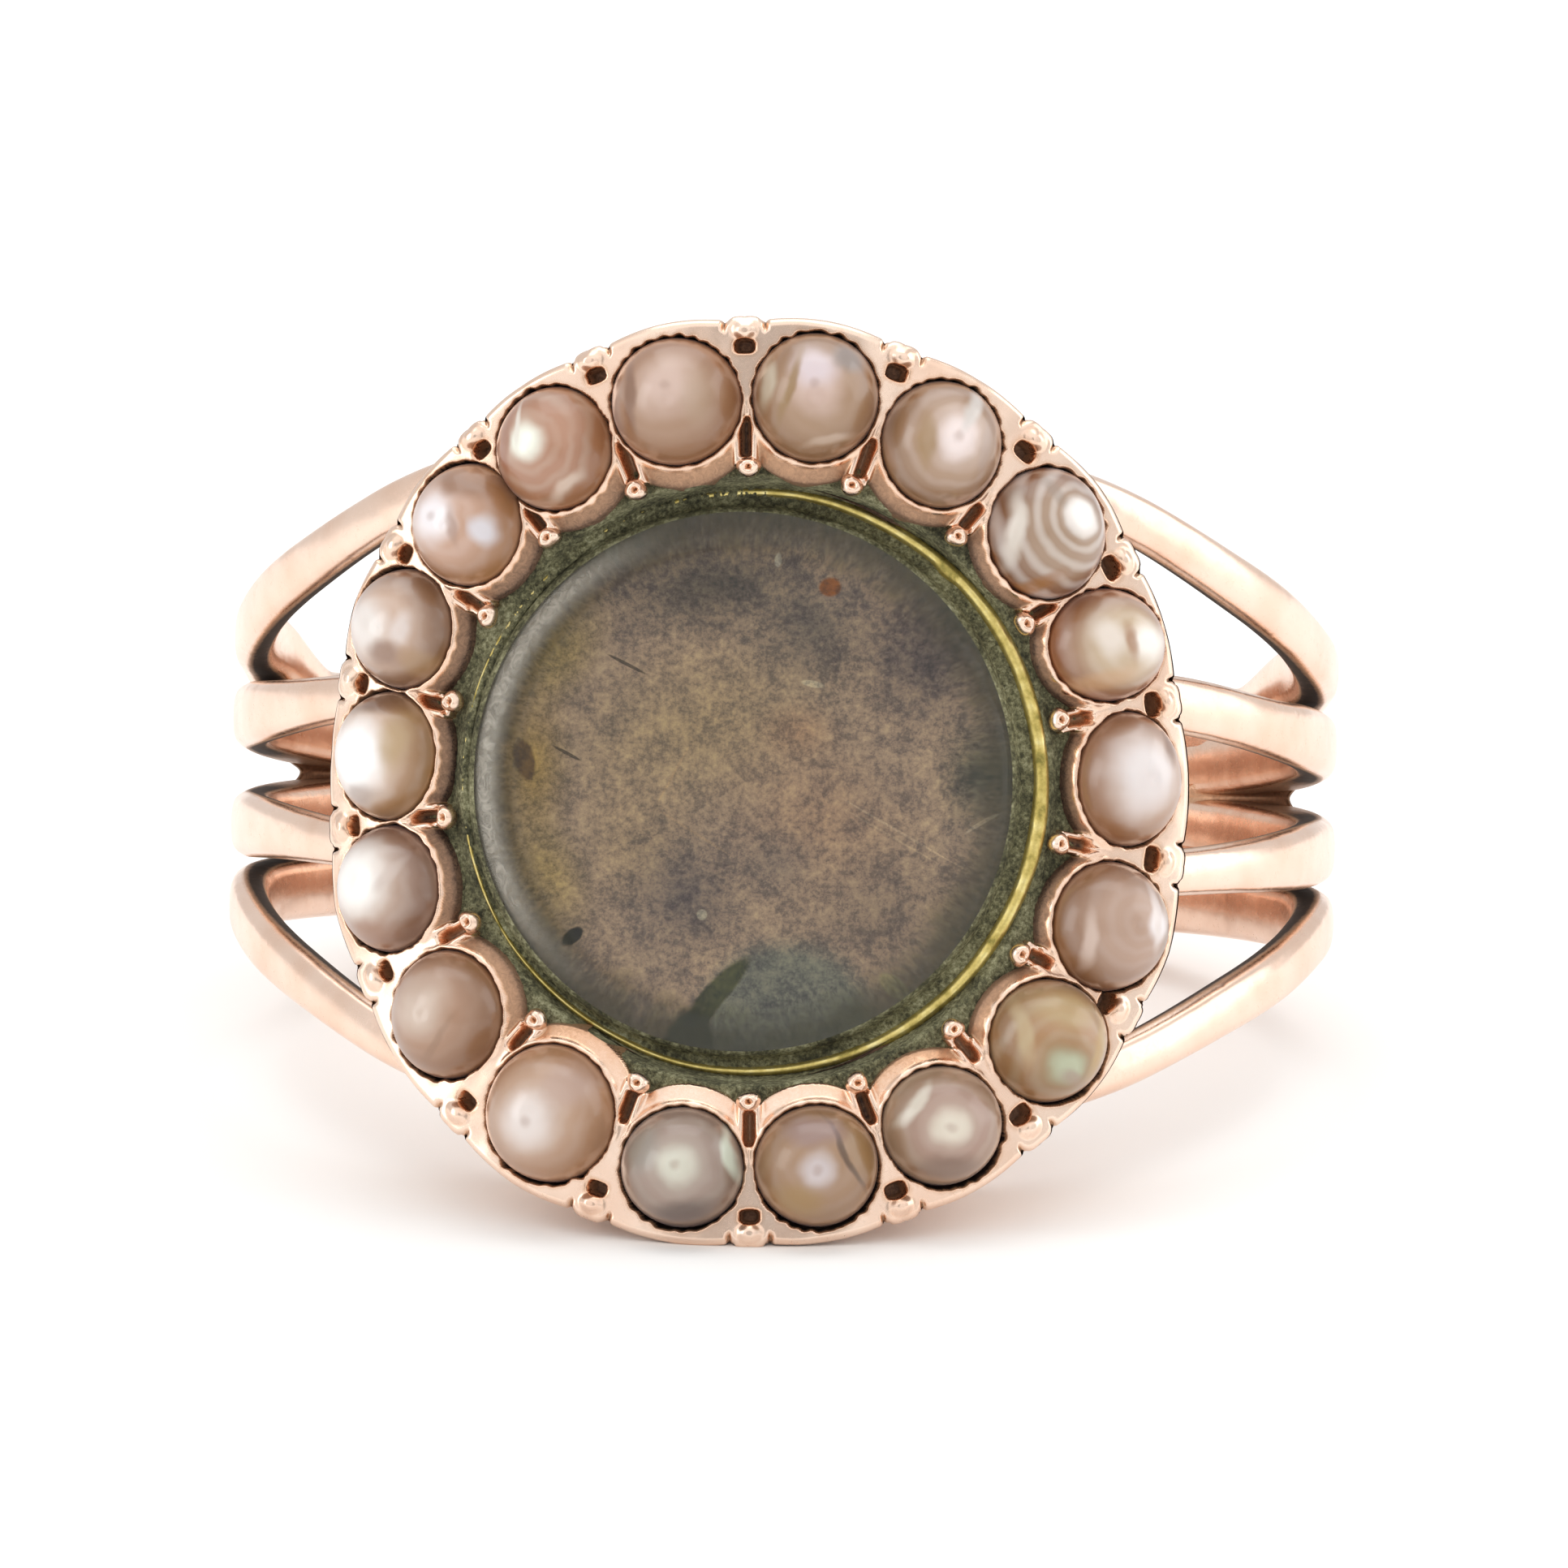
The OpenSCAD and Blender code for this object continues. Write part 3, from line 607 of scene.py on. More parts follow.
def carved_face(reach, p, rim):
    """Places of the bent face and how dark each is painted, reach from the head's middle and p counted
    in pearls. Lengths are in millimetres; the darkness runs from 0, rubbed bare, to 1, thick with dirt,
    and on the collets' walls and in the recesses it is painted shade as well as dirt."""
    a = turn(p)[None, :] + 0 * reach
    u, v = reach * np.sin(a), reach * np.cos(a)
    beyond = np.full_like(reach, 9.0)
    clear = np.full_like(reach, 9.0)
    for k, (angle, out, wide, high) in enumerate(PEARLS):
        turned = math.radians(angle)
        du, dv = u - out * math.sin(turned), v - out * math.cos(turned)
        way = np.arctan2(du, dv)
        half = 1 / np.hypot(np.sin(way) / (wide / 2), np.cos(way) / (high / 2))
        outward = np.clip(np.cos(way - turned), 0, 1)
        # The hand-cut edge keeps off the pearl a little at the outside and hugs it at the inside.
        open_out = 0.02 + 0.06 * hump(angle - 155, 45) + 0.06 * hump(angle - 275, 45)
        cut = half + 0.005 + open_out * outward + jagged(way, 100 + k, depth=0.010)
        cut = cut + (0.4 + outward) * jagged(way, 200 + k, low=11, high=34, depth=0.013)
        beyond = np.minimum(beyond, np.hypot(du, dv) - cut)
        clear = np.minimum(clear, np.hypot(du, dv) - half - 0.01)
    from_rim = rim - reach
    inside = smooth_step(6.75, 6.45, reach)
    height = np.zeros_like(reach)
    grime_and_shade = np.zeros_like(reach)
    # Towards the locket each collet is a thin lip over a sloping wall, which is widest at the top and
    # bottom of the head and narrowest at the right.
    wall = 0.23 + 0.06 * np.cos(2 * a) - 0.08 * np.clip(np.sin(a), 0, 1)
    slope = np.clip((clear - 0.08) / wall, 0, 1)
    foot = smooth_step(0.08 + wall, 0.13 + wall, clear)
    drop = 0.04 * smooth_step(0.05, 0.11, clear) + 0.15 * slope + 0.80 * foot
    # The walls are painted brown by their angle round the head: painted shade mixed with old dirt, darkest
    # on the sides, lighter at the top and almost none on those below the glass, which face up to the light;
    # the lips are rubbed bright.
    shade = np.interp(np.degrees(a) % 360, [0, 60, 110, 145, 170, 195, 225, 260, 320, 360],
                      [0.54, 0.70, 0.72, 0.44, 0.05, 0.05, 0.56, 0.74, 0.68, 0.54])
    lip = 0.075 + 0.012 * jagged(a, 77, low=90, high=150)
    shade = shade * smooth_step(lip - 0.02, lip + 0.03, clear)
    # Between two pearls a web of metal runs in to the grain, and is pierced by a short slot.
    s = rib_offset(p[None, :] + 0 * reach, reach)
    grain_reach = np.array([out for angle, out in GRAINS])[np.floor(p).astype(int)][None, :]
    web = smooth_step(0.25, 0.17, np.abs(s)) * smooth_step(grain_reach - 0.05, grain_reach + 0.08, reach)
    drop = drop * (1 - 0.85 * web)
    height -= inside * drop
    # Deeper down each wall it is painted darker, as painted shade in the recess, and a faint dark line is
    # painted just below the lip.
    grime_and_shade = np.maximum(grime_and_shade, inside * (1 - web) * np.maximum(shade + 0.16 * slope ** 3, 0.8 * foot))
    grime_and_shade = np.maximum(grime_and_shade, inside * 0.20 * hump(clear - 0.10, 0.03))
    height += 0.03 * inside * hump(beyond - 0.03, 0.03)
    # Outside, between two pearls: a bead raised on the rim with a drilled hole at its foot.
    worn_open = 1 + 0.25 * np.clip(np.sin(a), 0, 1)
    hole = (np.abs(s / (0.165 * worn_open)) ** 3
            + np.abs((reach - PIT_OUT) / (0.12 * worn_open)) ** 3) ** (1 / 3)
    height -= 0.42 * smooth_step(1.15, 0.75, hole)
    # The hole and a ring round it are painted dark, dirt and painted shade in the hollow, and a faint dark
    # ring is painted round the bead's foot.
    grime_and_shade = np.maximum(grime_and_shade, np.maximum(0.30 * smooth_step(1.9, 1.1, hole),
                                         0.80 * smooth_step(1.10, 0.80, hole)))
    bead = np.hypot(s / 0.23, (reach - BEAD_OUT) / 0.18)
    height += 0.10 * smooth_step(1.15, 0.25, bead)
    grime_and_shade = np.maximum(grime_and_shade, 0.12 * hump(bead - 1.0, 0.15) * smooth_step(0.02, 0.12, from_rim))
    for side in (-1, 1):
        nick = hump(s + side * (NOTCH_AWAY + 0.1 * from_rim), 0.035) * smooth_step(0.22, 0.08, from_rim)
        height -= 0.12 * nick
        grime_and_shade = np.maximum(grime_and_shade, 0.75 * nick)
    slot = smooth_step(0.13, 0.02, np.abs(s)) * smooth_step(0.05, 0.09, clear)
    slot = slot * smooth_step(6.36, 6.2, reach) * smooth_step(grain_reach + 0.15, grain_reach + 0.24, reach)
    height = height * (1 - slot) - 0.36 * slot
    # The slots are painted dark, dirt and painted shade in the narrow recess, some a little more than
    # others.
    slot_darkness = 0.79 + 0.09 * np.cos(2.4 * np.floor(p))[None, :]
    grime_and_shade = np.maximum(grime_and_shade, slot_darkness * slot ** 1.4)
    # The seats themselves.
    seat = smooth_step(0.0, -0.05, beyond)
    height = height * (1 - seat) - SEAT_DEPTH * seat
    grime_and_shade = np.maximum(grime_and_shade, np.maximum(smooth_step(0.012, -0.02, beyond), 0.26 * hump(beyond, 0.06)))
    # The rim is worn round.
    edge = np.clip(1 - from_rim / EDGE_ROUND, 0, 1)
    height -= EDGE_ROUND * (1 - np.sqrt(np.clip(1 - edge ** 2, 0, 1)))
    height += 0.004 * grain_noise(on_face(u, v, height), 0.8, 5)
    return on_face(u, v, height), grime_and_shade


def head_face(first, last, rows):
    """A part of the bent front of the head, between two of its rim, the split and the well."""
    p = np.arange(COLUMNS) / COLUMNS * COUNT
    rim = outline(p)[None, :]
    t = np.linspace(0, 1, rows)[:, None]
    starts = {"rim": rim, "split": FACE_SPLIT, "well": WELL_R}
    reach = starts[first] * (1 - t) + starts[last] * t + 0 * rim
    places, grime_and_shade = carved_face(reach, p, rim)
    return places.reshape(-1, 3), grime_and_shade.ravel()


def wall_place(p, depth):
    """A place on the head's tapering wall, at a distance below the rim."""
    reach = outline(p)
    a = turn(p)
    top = on_face(reach * np.sin(a), reach * np.cos(a), 0)
    apex = np.array([0.0, 0.0, -TAPER_POINT])
    down = (apex - top) / np.linalg.norm(apex - top, axis=-1, keepdims=True)
    return top + down * depth


def wall_height(p):
    """Length of the wall from the rim to the finger hole, where it meets the hole's round."""
    top = wall_place(p, np.zeros((len(p), 1)))
    way = wall_place(p, np.ones((len(p), 1))) - top
    a = way[:, 0] ** 2 + way[:, 2] ** 2
    b = 2 * (top[:, 0] * way[:, 0] + top[:, 2] * way[:, 2])
    c = top[:, 0] ** 2 + top[:, 2] ** 2 - HOLE_R ** 2
    return (-b - np.sqrt(b * b - 4 * a * c)) / (2 * a)


def build_head_wall():
    """The wall from the rim down to the finger hole, and the hollowed underside of the head."""
    p = np.arange(COLUMNS) / COLUMNS * COUNT
    full = wall_height(p)
    a = turn(p)
    s = rib_offset(p, rim_reach(p))
    rows, grime_and_shade = [], []
    for k in range(WALL_ROWS):
        t = (k / (WALL_ROWS - 1)) ** 1.3
        depth = EDGE_ROUND + (full - EDGE_ROUND) * t
        # Below the ribs the bumps of the rim fade into the plain wall.
        plain = (outline(p) - rim_reach(p)) * smooth_step(RIB_LENGTH - 0.4, RIB_LENGTH + 0.2, depth)
        rows.append(wall_place(p, depth[:, None]) - ring_row(a, 1, 0) * plain[:, None])
        # The wall is painted darker towards the hole and at the nicks beside the ribs.
        nick = hump(np.abs(s) - NOTCH_AWAY, 0.06) * smooth_step(RIB_LENGTH, 0.4, depth)
        grime_and_shade.append(np.maximum(0.55 * nick, 0.25 * smooth_step(0.6, 1.0, t) + 0 * s))
    foot = rows[-1]
    around = np.arctan2(foot[:, 0], foot[:, 2])
    for k in range(1, UNDER_ROWS):
        t = 1 - k / UNDER_ROWS
        rows.append(np.stack([HOLE_R * np.sin(around * t), foot[:, 1] * t,
                              HOLE_R * np.cos(around * t)], -1))
        grime_and_shade.append(0 * p + 0.1)
    faces = sheet_faces(len(rows), COLUMNS, True)
    last = (len(rows) - 1) * COLUMNS
    faces.append([last + k for k in range(COLUMNS)])
    make_gold("gold_head_wall", np.concatenate(rows), faces, rose_gold_wire, np.concatenate(grime_and_shade))


def build_head():
    """The carved front in two pieces, its outer part and the collets, and the wall below them."""
    for name, first, last, rows in (("gold_head_rim", "rim", "split", 56),
                                    ("gold_collets", "split", "well", 66)):
        places, grime_and_shade = head_face(first, last, rows)
        make_gold(name, places, sheet_faces(rows, COLUMNS, True, flip=True), rose_gold_worn, grime_and_shade)
    build_head_wall()


def build_well():
    """The well's wall below the face, and its floor."""
    columns = 360
    angle = full_turn(columns)
    top = on_face(WELL_R * np.sin(angle), WELL_R * np.cos(angle), -0.9)
    foot = ring_row(angle, WELL_R, WELL_FLOOR)
    rows = [top * (1 - k / 5) + foot * (k / 5) for k in range(5)]
    rows += [ring_row(angle, WELL_R - inwards, WELL_FLOOR) for inwards in (0, 0.15, 0.5)]
    places = np.concatenate(rows)
    make_gold("gold_well", places, sheet_faces(len(rows), columns, True, flip=True), rose_gold_wire,
              np.full(len(places), 1.0))


def build_grains():
    """A small grain with a punched dot at the end of the web between each two pearls."""
    places, faces, grime_and_shade = [], [], []
    around, up = 26, 16
    for k, (angle, out) in enumerate(GRAINS):
        a = math.radians(angle)
        u, v = out * math.sin(a), out * math.cos(a)
        lift = np.linspace(0.0, 1.0, up)[:, None] * math.pi * 0.6
        spin = full_turn(around)[None, :]
        r = 0.21 + 0.012 * np.sin(3 * spin + k) + 0.012 * np.cos(2 * spin + 2 * k)
        dot = hump(lift, 0.30)
        across, radial = r * np.sin(lift) * np.cos(spin), 0.88 * r * np.sin(lift) * np.sin(spin)
        du = across * math.cos(a) + radial * math.sin(a)
        dv = -across * math.sin(a) + radial * math.cos(a)
        h = -0.09 + r * np.cos(lift) - 0.12 * dot
        places.append(on_face(u + du, v + dv, h).reshape(-1, 3))
        faces += sheet_faces(up, around, True, start=k * up * around, flip=True)
        # The punched dot and the grain's foot are painted darker.
        grime_and_shade.append(np.broadcast_to(0.55 * hump(lift, 0.22) + 0.5 * smooth_step(1.5, 1.9, lift)
                                     + 0 * spin, (up, around)).ravel())
    make_gold("gold_grains", np.concatenate(places), faces, rose_gold_worn, np.concatenate(grime_and_shade))


# The shank

def along_wire(table, w, column):
    """A wire's middle height or half width at w, with the table's corners rounded off."""
    spread = w[:, None] + np.linspace(-0.8, 0.8, 9)
    return np.interp(spread, [row[0] for row in table], [row[column] for row in table]).mean(axis=1)


def askew(angle):
    """How far the shank is sprung out of true at an angle from the head, in millimetres."""
    return 0.03 - 0.06 * np.sin(angle)


def worn_low(w, angle):
    """How far the upper edge of the shank is worn down towards the back, most on the left."""
    left = 0.5 - 0.5 * np.sin(angle)
    return (0.58 + 0.22 * left) * smooth_step(-0.9 + 0.7 * left, -4.2 + 1.2 * left, w)


def on_shank(angle, v, r):
    """Places of the shank, one a row."""
    return np.stack([r * np.sin(angle), v + askew(angle), r * np.cos(angle)], -1).reshape(-1, 3)


def build_wires():
    """Four flat-crowned wires that part towards the head and are let into the back band."""
    steps, crown, side = 360, 26, 8
    ends = math.radians(24)
    angle = ends + (2 * math.pi - 2 * ends) * np.arange(steps) / (steps - 1)
    w = CREST_R * np.cos(angle)
    # Below the crown a wire is square at the back and thinned towards the head.
    power = (5.0 - 2.6 * smooth_step(-0.5, 3.0, w))[:, None]
    flank_top = CREST_R - 0.28
    deep = (flank_top - (HOLE_R + 0.012) - 0.62 * smooth_step(-3.5, 2.0, w))[:, None]
    over = -np.cos(math.pi * np.arange(crown) / (crown - 1))
    down = np.sin(math.pi / 2 * np.arange(1, side + 1) / (side + 1))
    lean = (1 - down ** power) ** (1 / power)
    # Its section, from one edge over the crown to the other and back underneath.
    across = np.hstack([over + 0 * deep, lean, 0 * deep, -lean[:, ::-1]])
    r = np.hstack([CREST_R - (0.07 * over ** 2 + 0.21 * np.abs(over) ** 7) + 0 * deep,
                   flank_top - deep * down, flank_top - deep, flank_top - deep * down[::-1]])
    # The side that faces the finger is rubbed clean.
    flank_shade_and_dirt = 1.0 - 0.85 * smooth_step(0.60, 0.88, down)
    dark = np.concatenate([0 * over, flank_shade_and_dirt, [0.12], flank_shade_and_dirt[::-1]])
    places, faces, grime_and_shade = [], [], []
    for number, (table, up) in enumerate(((OUTER_WIRE, 1), (INNER_WIRE, 1),
                                          (INNER_WIRE, -1), (OUTER_WIRE, -1))):
        outer = table is OUTER_WIRE
        half, middle = along_wire(table, w, 2), along_wire(table, w, 1)
        # The right-hand shoulder stands a little more open than the left, and its upper inner wire
        # spreads where it meets the head.
        middle += (0.028 if outer else 0.07) * np.sin(angle) * smooth_step(0.0, 5.0, w)
        if up > 0 and outer:
            middle -= 0.85 * worn_low(w, angle)
            half -= 0.15 * worn_low(w, angle)
        if up > 0 and not outer:
            spread = smooth_step(3.5, 7.0, w) * (np.sin(angle) > 0)
            middle += 0.14 * spread
            half += 0.10 * spread
        v = across * half[:, None]
        places.append(on_shank(angle[:, None], up * (middle[:, None] + v), r))
        # The flanks that face another wire are painted dark, painted shade between the wires mixed with
        # dirt, and a dark line of painted shade runs along the crown's shoulder.
        tucked_shade_and_dirt = dark * np.where(outer & (v >= 0), 0.12, 0.95)
        shoulder = 0.60 * smooth_step(0.93, 1.0, np.abs(across)) * (r > 9.6)
        if outer:
            shoulder = shoulder * (v <= 0)
        else:
            tucked_shade_and_dirt = tucked_shade_and_dirt * (1.0 - 0.35 * smooth_step(-0.5, -2.5, w)[:, None] * (v < 0))
        grime_and_shade.append(np.maximum(tucked_shade_and_dirt, shoulder).ravel())
        count = across.shape[1]
        start = number * steps * count
        faces += sheet_faces(steps, count, True, start=start, flip=up > 0)
        first = [start + j for j in range(count)]
        last = [start + (steps - 1) * count + j for j in range(count)]
        faces += [first, last[::-1]] if up > 0 else [first[::-1], last]
    make_gold("gold_wires", np.concatenate(places), faces, rose_gold_wire, np.concatenate(grime_and_shade))


def build_band():
    """The back band: grooved and cloven where the wires begin, plain and a little proud behind."""
    rows, along = 121, 240
    share = np.linspace(-1, 1, rows)[:, None]
    # How far in front of the finger's axis it starts, a little further back at its middle.
    first = -2.8 - 0.7 * hump(share * BAND_HALF, 0.3)
    start = np.arccos(first / GROOVE_R)
    angle = start + (2 * math.pi - 2 * start) * np.arange(along) / (along - 1)
    w = GROOVE_R * np.cos(angle)
    plain = smooth_step(5.9, 7.0, -w)
    half = BAND_HALF + BAND_FALL * w + (WIRE_R + 0.05) * plain - worn_low(w, angle) * (share > 0)
    rounded = 0.30 * (1 - np.sqrt(1 - np.clip((np.abs(share) - 0.86) / 0.14, 0, 1) ** 2))
    outside = GROOVE_R + (PLAIN_R - GROOVE_R) * plain - rounded * plain
    # It is let in 0.006 to 0.03 mm above the hole, and filed away to a thin edge between the wires.
    inside = HOLE_R + 0.006 + 0.024 * smooth_step(-7.2, -5.6, w)
    inside = inside + 1.01 * smooth_step(first - 2.4, first, w)
    places = np.concatenate([on_shank(angle, share * half, r) for r in (outside, inside)])
    # Where it is grooved between the wires the outside is painted dark, and down the middle of the inside a
    # dark stripe is painted near the wires, fading towards the back: painted shade with some dirt.
    inner_shade_and_dirt = 0.10 + 0.6 * hump(share * half, 0.28) * smooth_step(9.0, 3.0, -w)
    grime_and_shade = np.concatenate([(0.75 * (1 - plain)).ravel(), inner_shade_and_dirt.ravel()])
    n = rows * along
    faces = sheet_faces(rows, along, False)
    faces += sheet_faces(rows, along, False, start=n, flip=True)
    far = (rows - 1) * along
    for k in range(along - 1):
        faces.append([n + k, n + k + 1, k + 1, k])
        faces.append([far + k, far + k + 1, n + far + k + 1, n + far + k])
    for j in range(rows - 1):
        for end in (0, along - 1):
            a, b = j * along + end, (j + 1) * along + end
            faces.append([a, b, n + b, n + a] if end == 0 else [a, n + a, n + b, b])
    make_gold("gold_back_band", places, faces, rose_gold_wire, grime_and_shade)


# The locket

def build_gilt_rim():
    """The narrow gilt ring round the glass, a little to one side and pinched here and there."""
    columns = 720
    angle = full_turn(columns)
    outer = 5.125 + 0.010 * jagged(angle, 31, 3, 12)
    inner = 4.955 - 0.02 * np.clip(np.sin(angle), 0, 1) + 0.014 * jagged(angle, 32, 4, 18)
    inner = inner - 0.05 * hump(angle - math.radians(42), 0.04)
    # Its section: the share of the way from its outer to its inner edge, and the height. Past the
    # inner edge a ledge runs on to the glass.
    section = [(-0.02, 9.7), (-0.02, 10.6), (0.04, 10.72), (0.2, 10.79), (0.4, 10.81), (0.62, 10.80),
               (0.82, 10.77), (0.96, 10.70), (1.0, 10.60), (1.3, 10.58), (1.97, 10.56), (1.97, 9.7)]
    ledge_end = section[-1][0]
    waver = 0.012 * jagged(angle, 33, 2, 9)
    rows = [ring_row(angle, outer * (1 - share) + inner * share, w + waver,
                     RIM_X * (1 - share / ledge_end) + GLASS_X * share / ledge_end)
            for share, w in section]
    make_piece("gilt_rim_turned", np.concatenate(rows), sheet_faces(len(rows), columns, True, flip=True),
               make_material("gilt_brass_tarnished", gilt_brass), ("gilt_rim",))


def build_crust():
    """Verdigris and dirt from the edge of the glass over the channel to the collets. It buries the
    gilt rim at the upper left and leaves it rubbed bright at the right and below."""
    crust = make_material("verdigris_crust", verdigris)
    columns = 1100
    angle = full_turn(columns)
    # How deep the rim lies under the crust, clockwise from the top.
    buried = np.interp(np.degrees(angle), [0, 10, 20, 110, 150, 200, 245, 262, 345, 360],
                       [0.8, 0.1, -0.25, -0.25, 0.10, 0.18, 0.30, 1.0, 1.0, 0.8])
    buried = buried + 0.06 * jagged(angle, 43, 8, 40)
    # From the glass outwards: distance, height, how far the place follows the glass.
    profile = [(4.69, 11.00, 1), (4.735, 10.98, 1), (4.775, 10.90, 1), (4.80, 10.80, 1),
               (4.83, 10.73, 1), (4.88, 10.70, 0.7), (4.93, 10.69, 0.3)]
    profile += [(4.96 + 0.19 * k / 9, 10.695, 0) for k in range(10)]
    profile += [(5.17 + 0.58 * k / 18, 10.70, 0) for k in range(19)]
    rows = []
    for r, w, near_glass in profile:
        row = ring_row(angle, r, w, GLASS_X * near_glass + RIM_X * (1 - near_glass))
        # Outside the channel it lies on the bent metal at the collets' feet.
        bent = np.sqrt((FACE_R - 0.36) ** 2 - row[:, 0] ** 2)
        row[:, 2] += (bent - w) * smooth_step(5.10, 5.30, r) + 0.135 * buried * hump(r - 5.045, 0.13)
        lumps = grain_noise(row, 0.20, 41) * 0.45 + grain_noise(row, 0.08, 42) * 0.45
        row[:, 2] += (0.004 if r < 4.79 else 0.028) * lumps
        rows.append(row)
    make_piece("verdigris", np.concatenate(rows), sheet_faces(len(rows), columns, True), crust)
    # A dark collar of dirt round the side of the glass.
    collar = [ring_row(angle, GLASS_R + 0.012, w, GLASS_X) for w in (9.95, 10.4, 10.86)]
    make_piece("dirt_collar", np.concatenate(collar), sheet_faces(len(collar), columns, True), crust)


def build_backing():
    """The stained disc under the glass, gently cockled by damp."""
    columns, rings = 220, 60
    angle = full_turn(columns)
    disc = np.concatenate([np.zeros((1, 3))] + [ring_row(angle, 4.72 * k / rings, 0)
                                                for k in range(1, rings + 1)])
    places = disc + np.array([GLASS_X, 0, 9.87])
    places[:, 2] += 0.015 * grain_noise(places, 1.8, 51)
    faces = [[1 + (j + 1) % columns, 1 + j, 0] for j in range(columns)]
    faces += sheet_faces(rings, columns, True, start=1)
    make_piece("stained_backing", places, faces, make_material("rag_paper_stained", stained_paper),
               ("backing",), {"on_backing": disc})


def build_glass():
    """A flat locket glass with a soft cushion bevel."""
    # Its section: distance from its middle and height, from the middle underneath round to the top.
    profile = [(0.0, 9.93), (2.4, 9.93), (4.6, 9.93), (4.74, 9.95), (GLASS_R, 10.0), (GLASS_R, 10.80)]
    # The bevel starts steep at the edge and rolls into the flat.
    steps, r, w = 36, GLASS_R, 10.80
    for k in range(steps):
        t = (k + 0.5) / steps
        tilt = math.radians(3 + 58 * (1 - t) ** 1.5)
        r -= BEVEL_W / steps
        w += BEVEL_W / steps * math.tan(tilt)
        profile.append((r, w))
    flat_r, flat_w = profile[-1]
    for k in range(1, 9):
        r = flat_r * (1 - k / 8)
        profile.append((r, flat_w + 0.07 * (1 - (r / flat_r) ** 2)))
    columns = 256
    angle = full_turn(columns)
    rows = [ring_row(angle, r, w, GLASS_X) for r, w in profile[1:-1]]
    faces = sheet_faces(len(rows), columns, True, flip=True)
    places = np.concatenate(rows)
    low, high = len(places), len(places) + 1
    places = np.concatenate([places, [[GLASS_X, 0, 9.93], [GLASS_X, 0, profile[-1][1]]]])
    last = (len(rows) - 1) * columns
    for j in range(columns):
        faces.append([low, j, (j + 1) % columns])
        faces.append([high, last + (j + 1) % columns, last + j])
    # The bevel was left less polished than the top, and along the left it carries a pale cloudy patch that
    # is partly a painted reflection.
    away = np.hypot(places[:, 0] - GLASS_X, places[:, 1])
    around = np.degrees(np.arctan2(places[:, 0] - GLASS_X, places[:, 1]))
    front = places[:, 2] > 10.5
    ground = smooth_step(3.85, 4.1, away) * front
    haze_and_reflection = hump(away - 4.50, 0.20) * smooth_step(-148, -105, around) * smooth_step(-12, -50, around)
    make_piece("locket_glass_bevelled", places, faces,
               make_material("crown_glass_polished", locket_glass), ("glass",),
               {"ground": ground, "haze_and_reflection": 0.9 * haze_and_reflection * front})


def build_pearls():
    """Half pearls, each a little out of true, with its flat side down in its seat."""
    around, up = 72, 34
    for k, (angle, out, wide, high) in enumerate(PEARLS):
        a = math.radians(angle)
        u, v = out * math.sin(a), out * math.cos(a)
        spin = full_turn(around)[None, :]
        lift = np.linspace(0.0, math.radians(95.0), up)[:, None]
        lumpy = 1 - 0.006 * (1 + np.sin(3 * spin + k)) * np.sin(lift) - 0.02 * hump(lift, 0.10)
        across = lumpy * np.sin(lift) * np.sin(spin)
        along = lumpy * np.sin(lift) * np.cos(spin)
        x, y = wide / 2 * across, high / 2 * along
        h = (wide + high) / 4 * lumpy * np.cos(lift)
        # The pearl's own axes stand on the bent face at its seat.
        bend = u / FACE_R
        middle = np.array([(FACE_R - 0.25) * math.sin(bend), v, (FACE_R - 0.25) * math.cos(bend)])
        right = np.array([math.cos(bend), 0, -math.sin(bend)])
        out_way = np.array([math.sin(bend), 0, math.cos(bend)])
        places = (middle + x[..., None] * right + y[..., None] * np.array([0, 1, 0])
                  + h[..., None] * out_way).reshape(-1, 3)
        marks = np.stack([across.ravel(), along.ravel(), 0 * across.ravel()], -1)
        faces = sheet_faces(up, around, True)
        faces.append([(up - 1) * around + j for j in range(around)])
        name = f"half_pearl_{k + 1:02d}"
        make_piece(name, places, faces, make_material(f"nacre_{k + 1:02d}", nacre, k + 1),
                   (f"pearl_{k + 1:02d}",), {"on_pearl": marks})


build_head()
build_well()
build_grains()
build_wires()
build_band()
build_gilt_rim()
build_crust()
build_backing()
build_glass()
build_pearls()


# Floor, light and camera

def matt_card(tree, colour):
    """Matt white card with a faint tooth, which gives a plain pale ground."""
    place = put(tree, "TexCoord").outputs["Object"]
    tooth = put(tree, "TexNoise", {"Vector": place, "Scale": 900.0, "Detail": 2.0})
    bump = put(tree, "Bump", {"Height": tooth, "Strength": 0.05, "Distance": 0.0001})
    return put(tree, "BsdfPrincipled", {"Base Color": colour, "Roughness": 0.95, "Normal": bump})


def build_floor():
    """A wide plain sheet that the ring lies on."""
    mesh = bpy.data.meshes.new("floor")
    half, low = 3.0, cad_box[0][2]
    mesh.from_pydata([(-half, -half, low), (half, -half, low), (half, half, low), (-half, half, low)],
                     [], [(0, 1, 2, 3)])
    mesh.materials.append(make_material("white_card", matt_card, "#FCFCFB"))
    floor = bpy.data.objects.new("floor", mesh)
    bpy.context.scene.collection.objects.link(floor)


def hang_light(name, place, size, watts):
    """A soft box that looks at the ring; its place is in metres from the ring's middle."""
    light = bpy.data.lights.new(name, "AREA")
    light.shape = "RECTANGLE"
    light.size, light.size_y = size
    light.energy = watts
    lamp = bpy.data.objects.new(name, light)
    spot = HOLE_MIDDLE + np.array(place)
    lamp.location = spot
    lamp.rotation_euler = Vector(HOLE_MIDDLE - spot).to_track_quat("-Z", "Y").to_euler()
    bpy.context.scene.collection.objects.link(lamp)


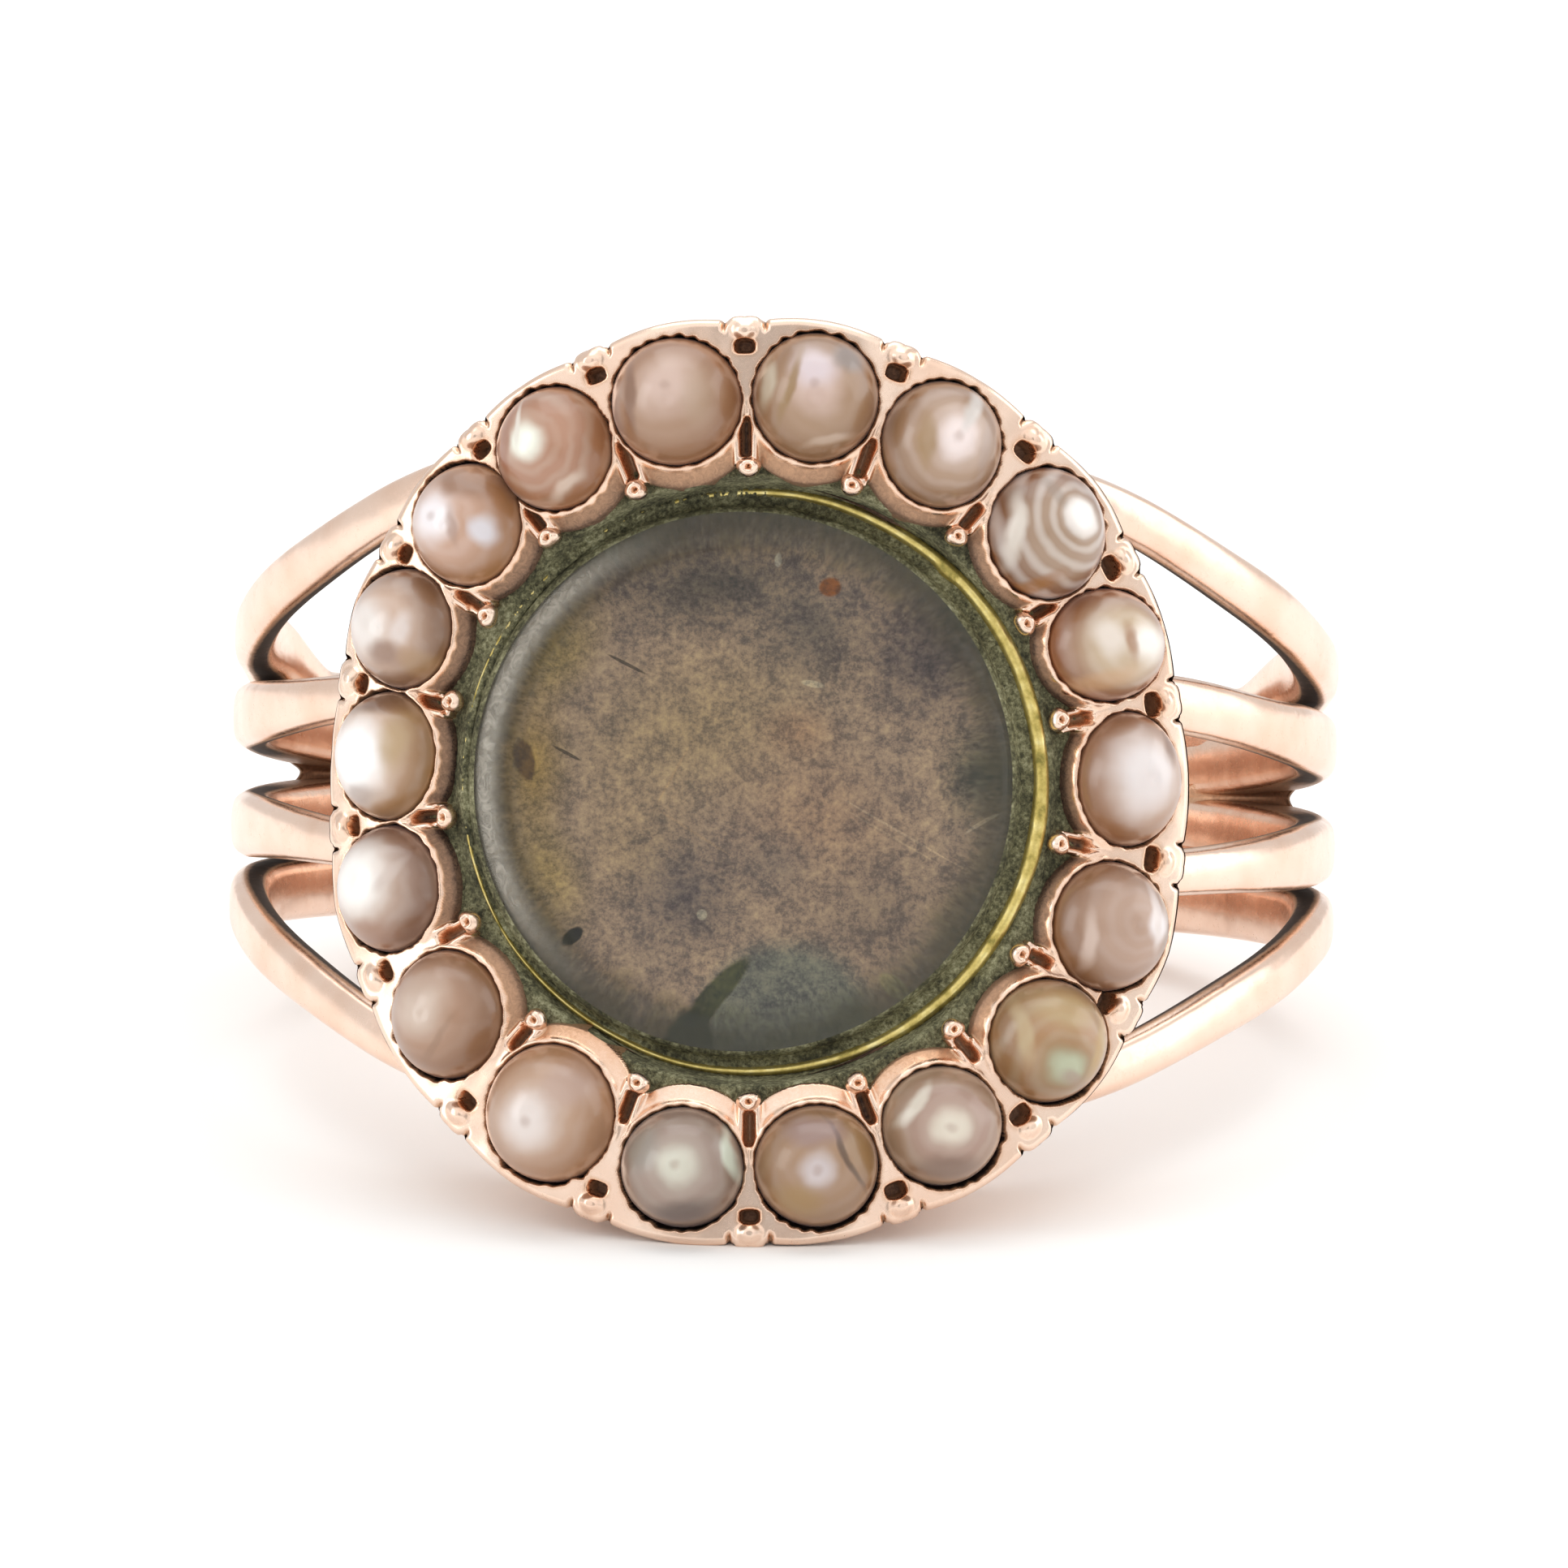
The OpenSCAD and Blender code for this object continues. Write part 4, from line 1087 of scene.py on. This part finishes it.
def set_sky():
    """A white tent, brighter in front above the ring, with a dim gap that the camera looks through."""
    world = bpy.data.worlds.new("white_tent")
    world.use_nodes = True
    tree = world.node_tree
    tree.nodes.clear()
    way = put(tree, "TexCoord").outputs["Generated"]
    parts = []
    # The middle of the brighter part and of the gap, then how each changes away from its middle. The
    # gap is about 15 degrees from its middle to its edge.
    for middle, start, end, low, high in ((OUT_OF_HEAD * 0.8 + ALONG_FINGER * 0.6, 0.35, 0.95, 0.78, 1.20),
                                          (OUT_OF_HEAD, 0.950, 0.978, 1.0, 0.45)):
        ahead = put(tree, "VectorMath", {0: way, 1: middle.tolist()}, operation="DOT_PRODUCT")
        parts.append(put(tree, "MapRange", {
            "Value": ahead, "From Min": start, "From Max": end, "To Min": low, "To Max": high},
            interpolation_type="SMOOTHSTEP"))
    strength = put(tree, "Math", dict(enumerate(parts)), operation="MULTIPLY")
    glow = put(tree, "Background", {"Color": "#FFFFFF", "Strength": strength})
    put(tree, "OutputWorld", {"Surface": glow})
    bpy.context.scene.world = world


# The camera: how far from the ring in millimetres, and how it is turned from straight ahead.
DISTANCE = 270.0
SIDEWAYS = math.radians(3.0)
BELOW = math.radians(-0.3)
ROLL = math.radians(1.2)
# What the picture takes in at the finger hole, and how far its middle lies above the hole's.
FRAME_WIDE = 28.41
AIM_UP = 0.03


def set_camera():
    """Looks almost straight into the head, as the photograph does."""
    back = np.array([math.sin(SIDEWAYS) * math.cos(BELOW), math.sin(BELOW),
                     math.cos(SIDEWAYS) * math.cos(BELOW)])
    right = np.array([math.cos(SIDEWAYS), 0, -math.sin(SIDEWAYS)])
    up = np.cross(back, right)
    right_rolled = right * math.cos(ROLL) + up * math.sin(ROLL)
    up_rolled = up * math.cos(ROLL) - right * math.sin(ROLL)
    aim = up_rolled * AIM_UP
    axes = [Vector(in_row(way) - HOLE_MIDDLE).normalized() for way in (right_rolled, up_rolled, back)]
    camera = bpy.data.cameras.new("camera")
    camera.sensor_width = 36.0
    camera.lens = 36.0 * DISTANCE / FRAME_WIDE
    camera.clip_start = 0.01
    eye = bpy.data.objects.new("camera", camera)
    turned = Matrix(axes).transposed().to_4x4()
    turned.translation = Vector(in_row(aim + back * DISTANCE))
    eye.matrix_world = turned
    bpy.context.scene.collection.objects.link(eye)
    bpy.context.scene.camera = eye


build_floor()
set_sky()
hang_light("overhead", (0.0, 0.10, 0.35), (0.35, 0.35), 0.44)
hang_light("left_strip", (-0.31, -0.16, 0.09), (0.12, 0.26), 0.20)
hang_light("right_fill", (0.34, 0.05, 0.12), (0.30, 0.30), 0.35)
set_camera()
bpy.context.scene.view_settings.view_transform = "Standard"
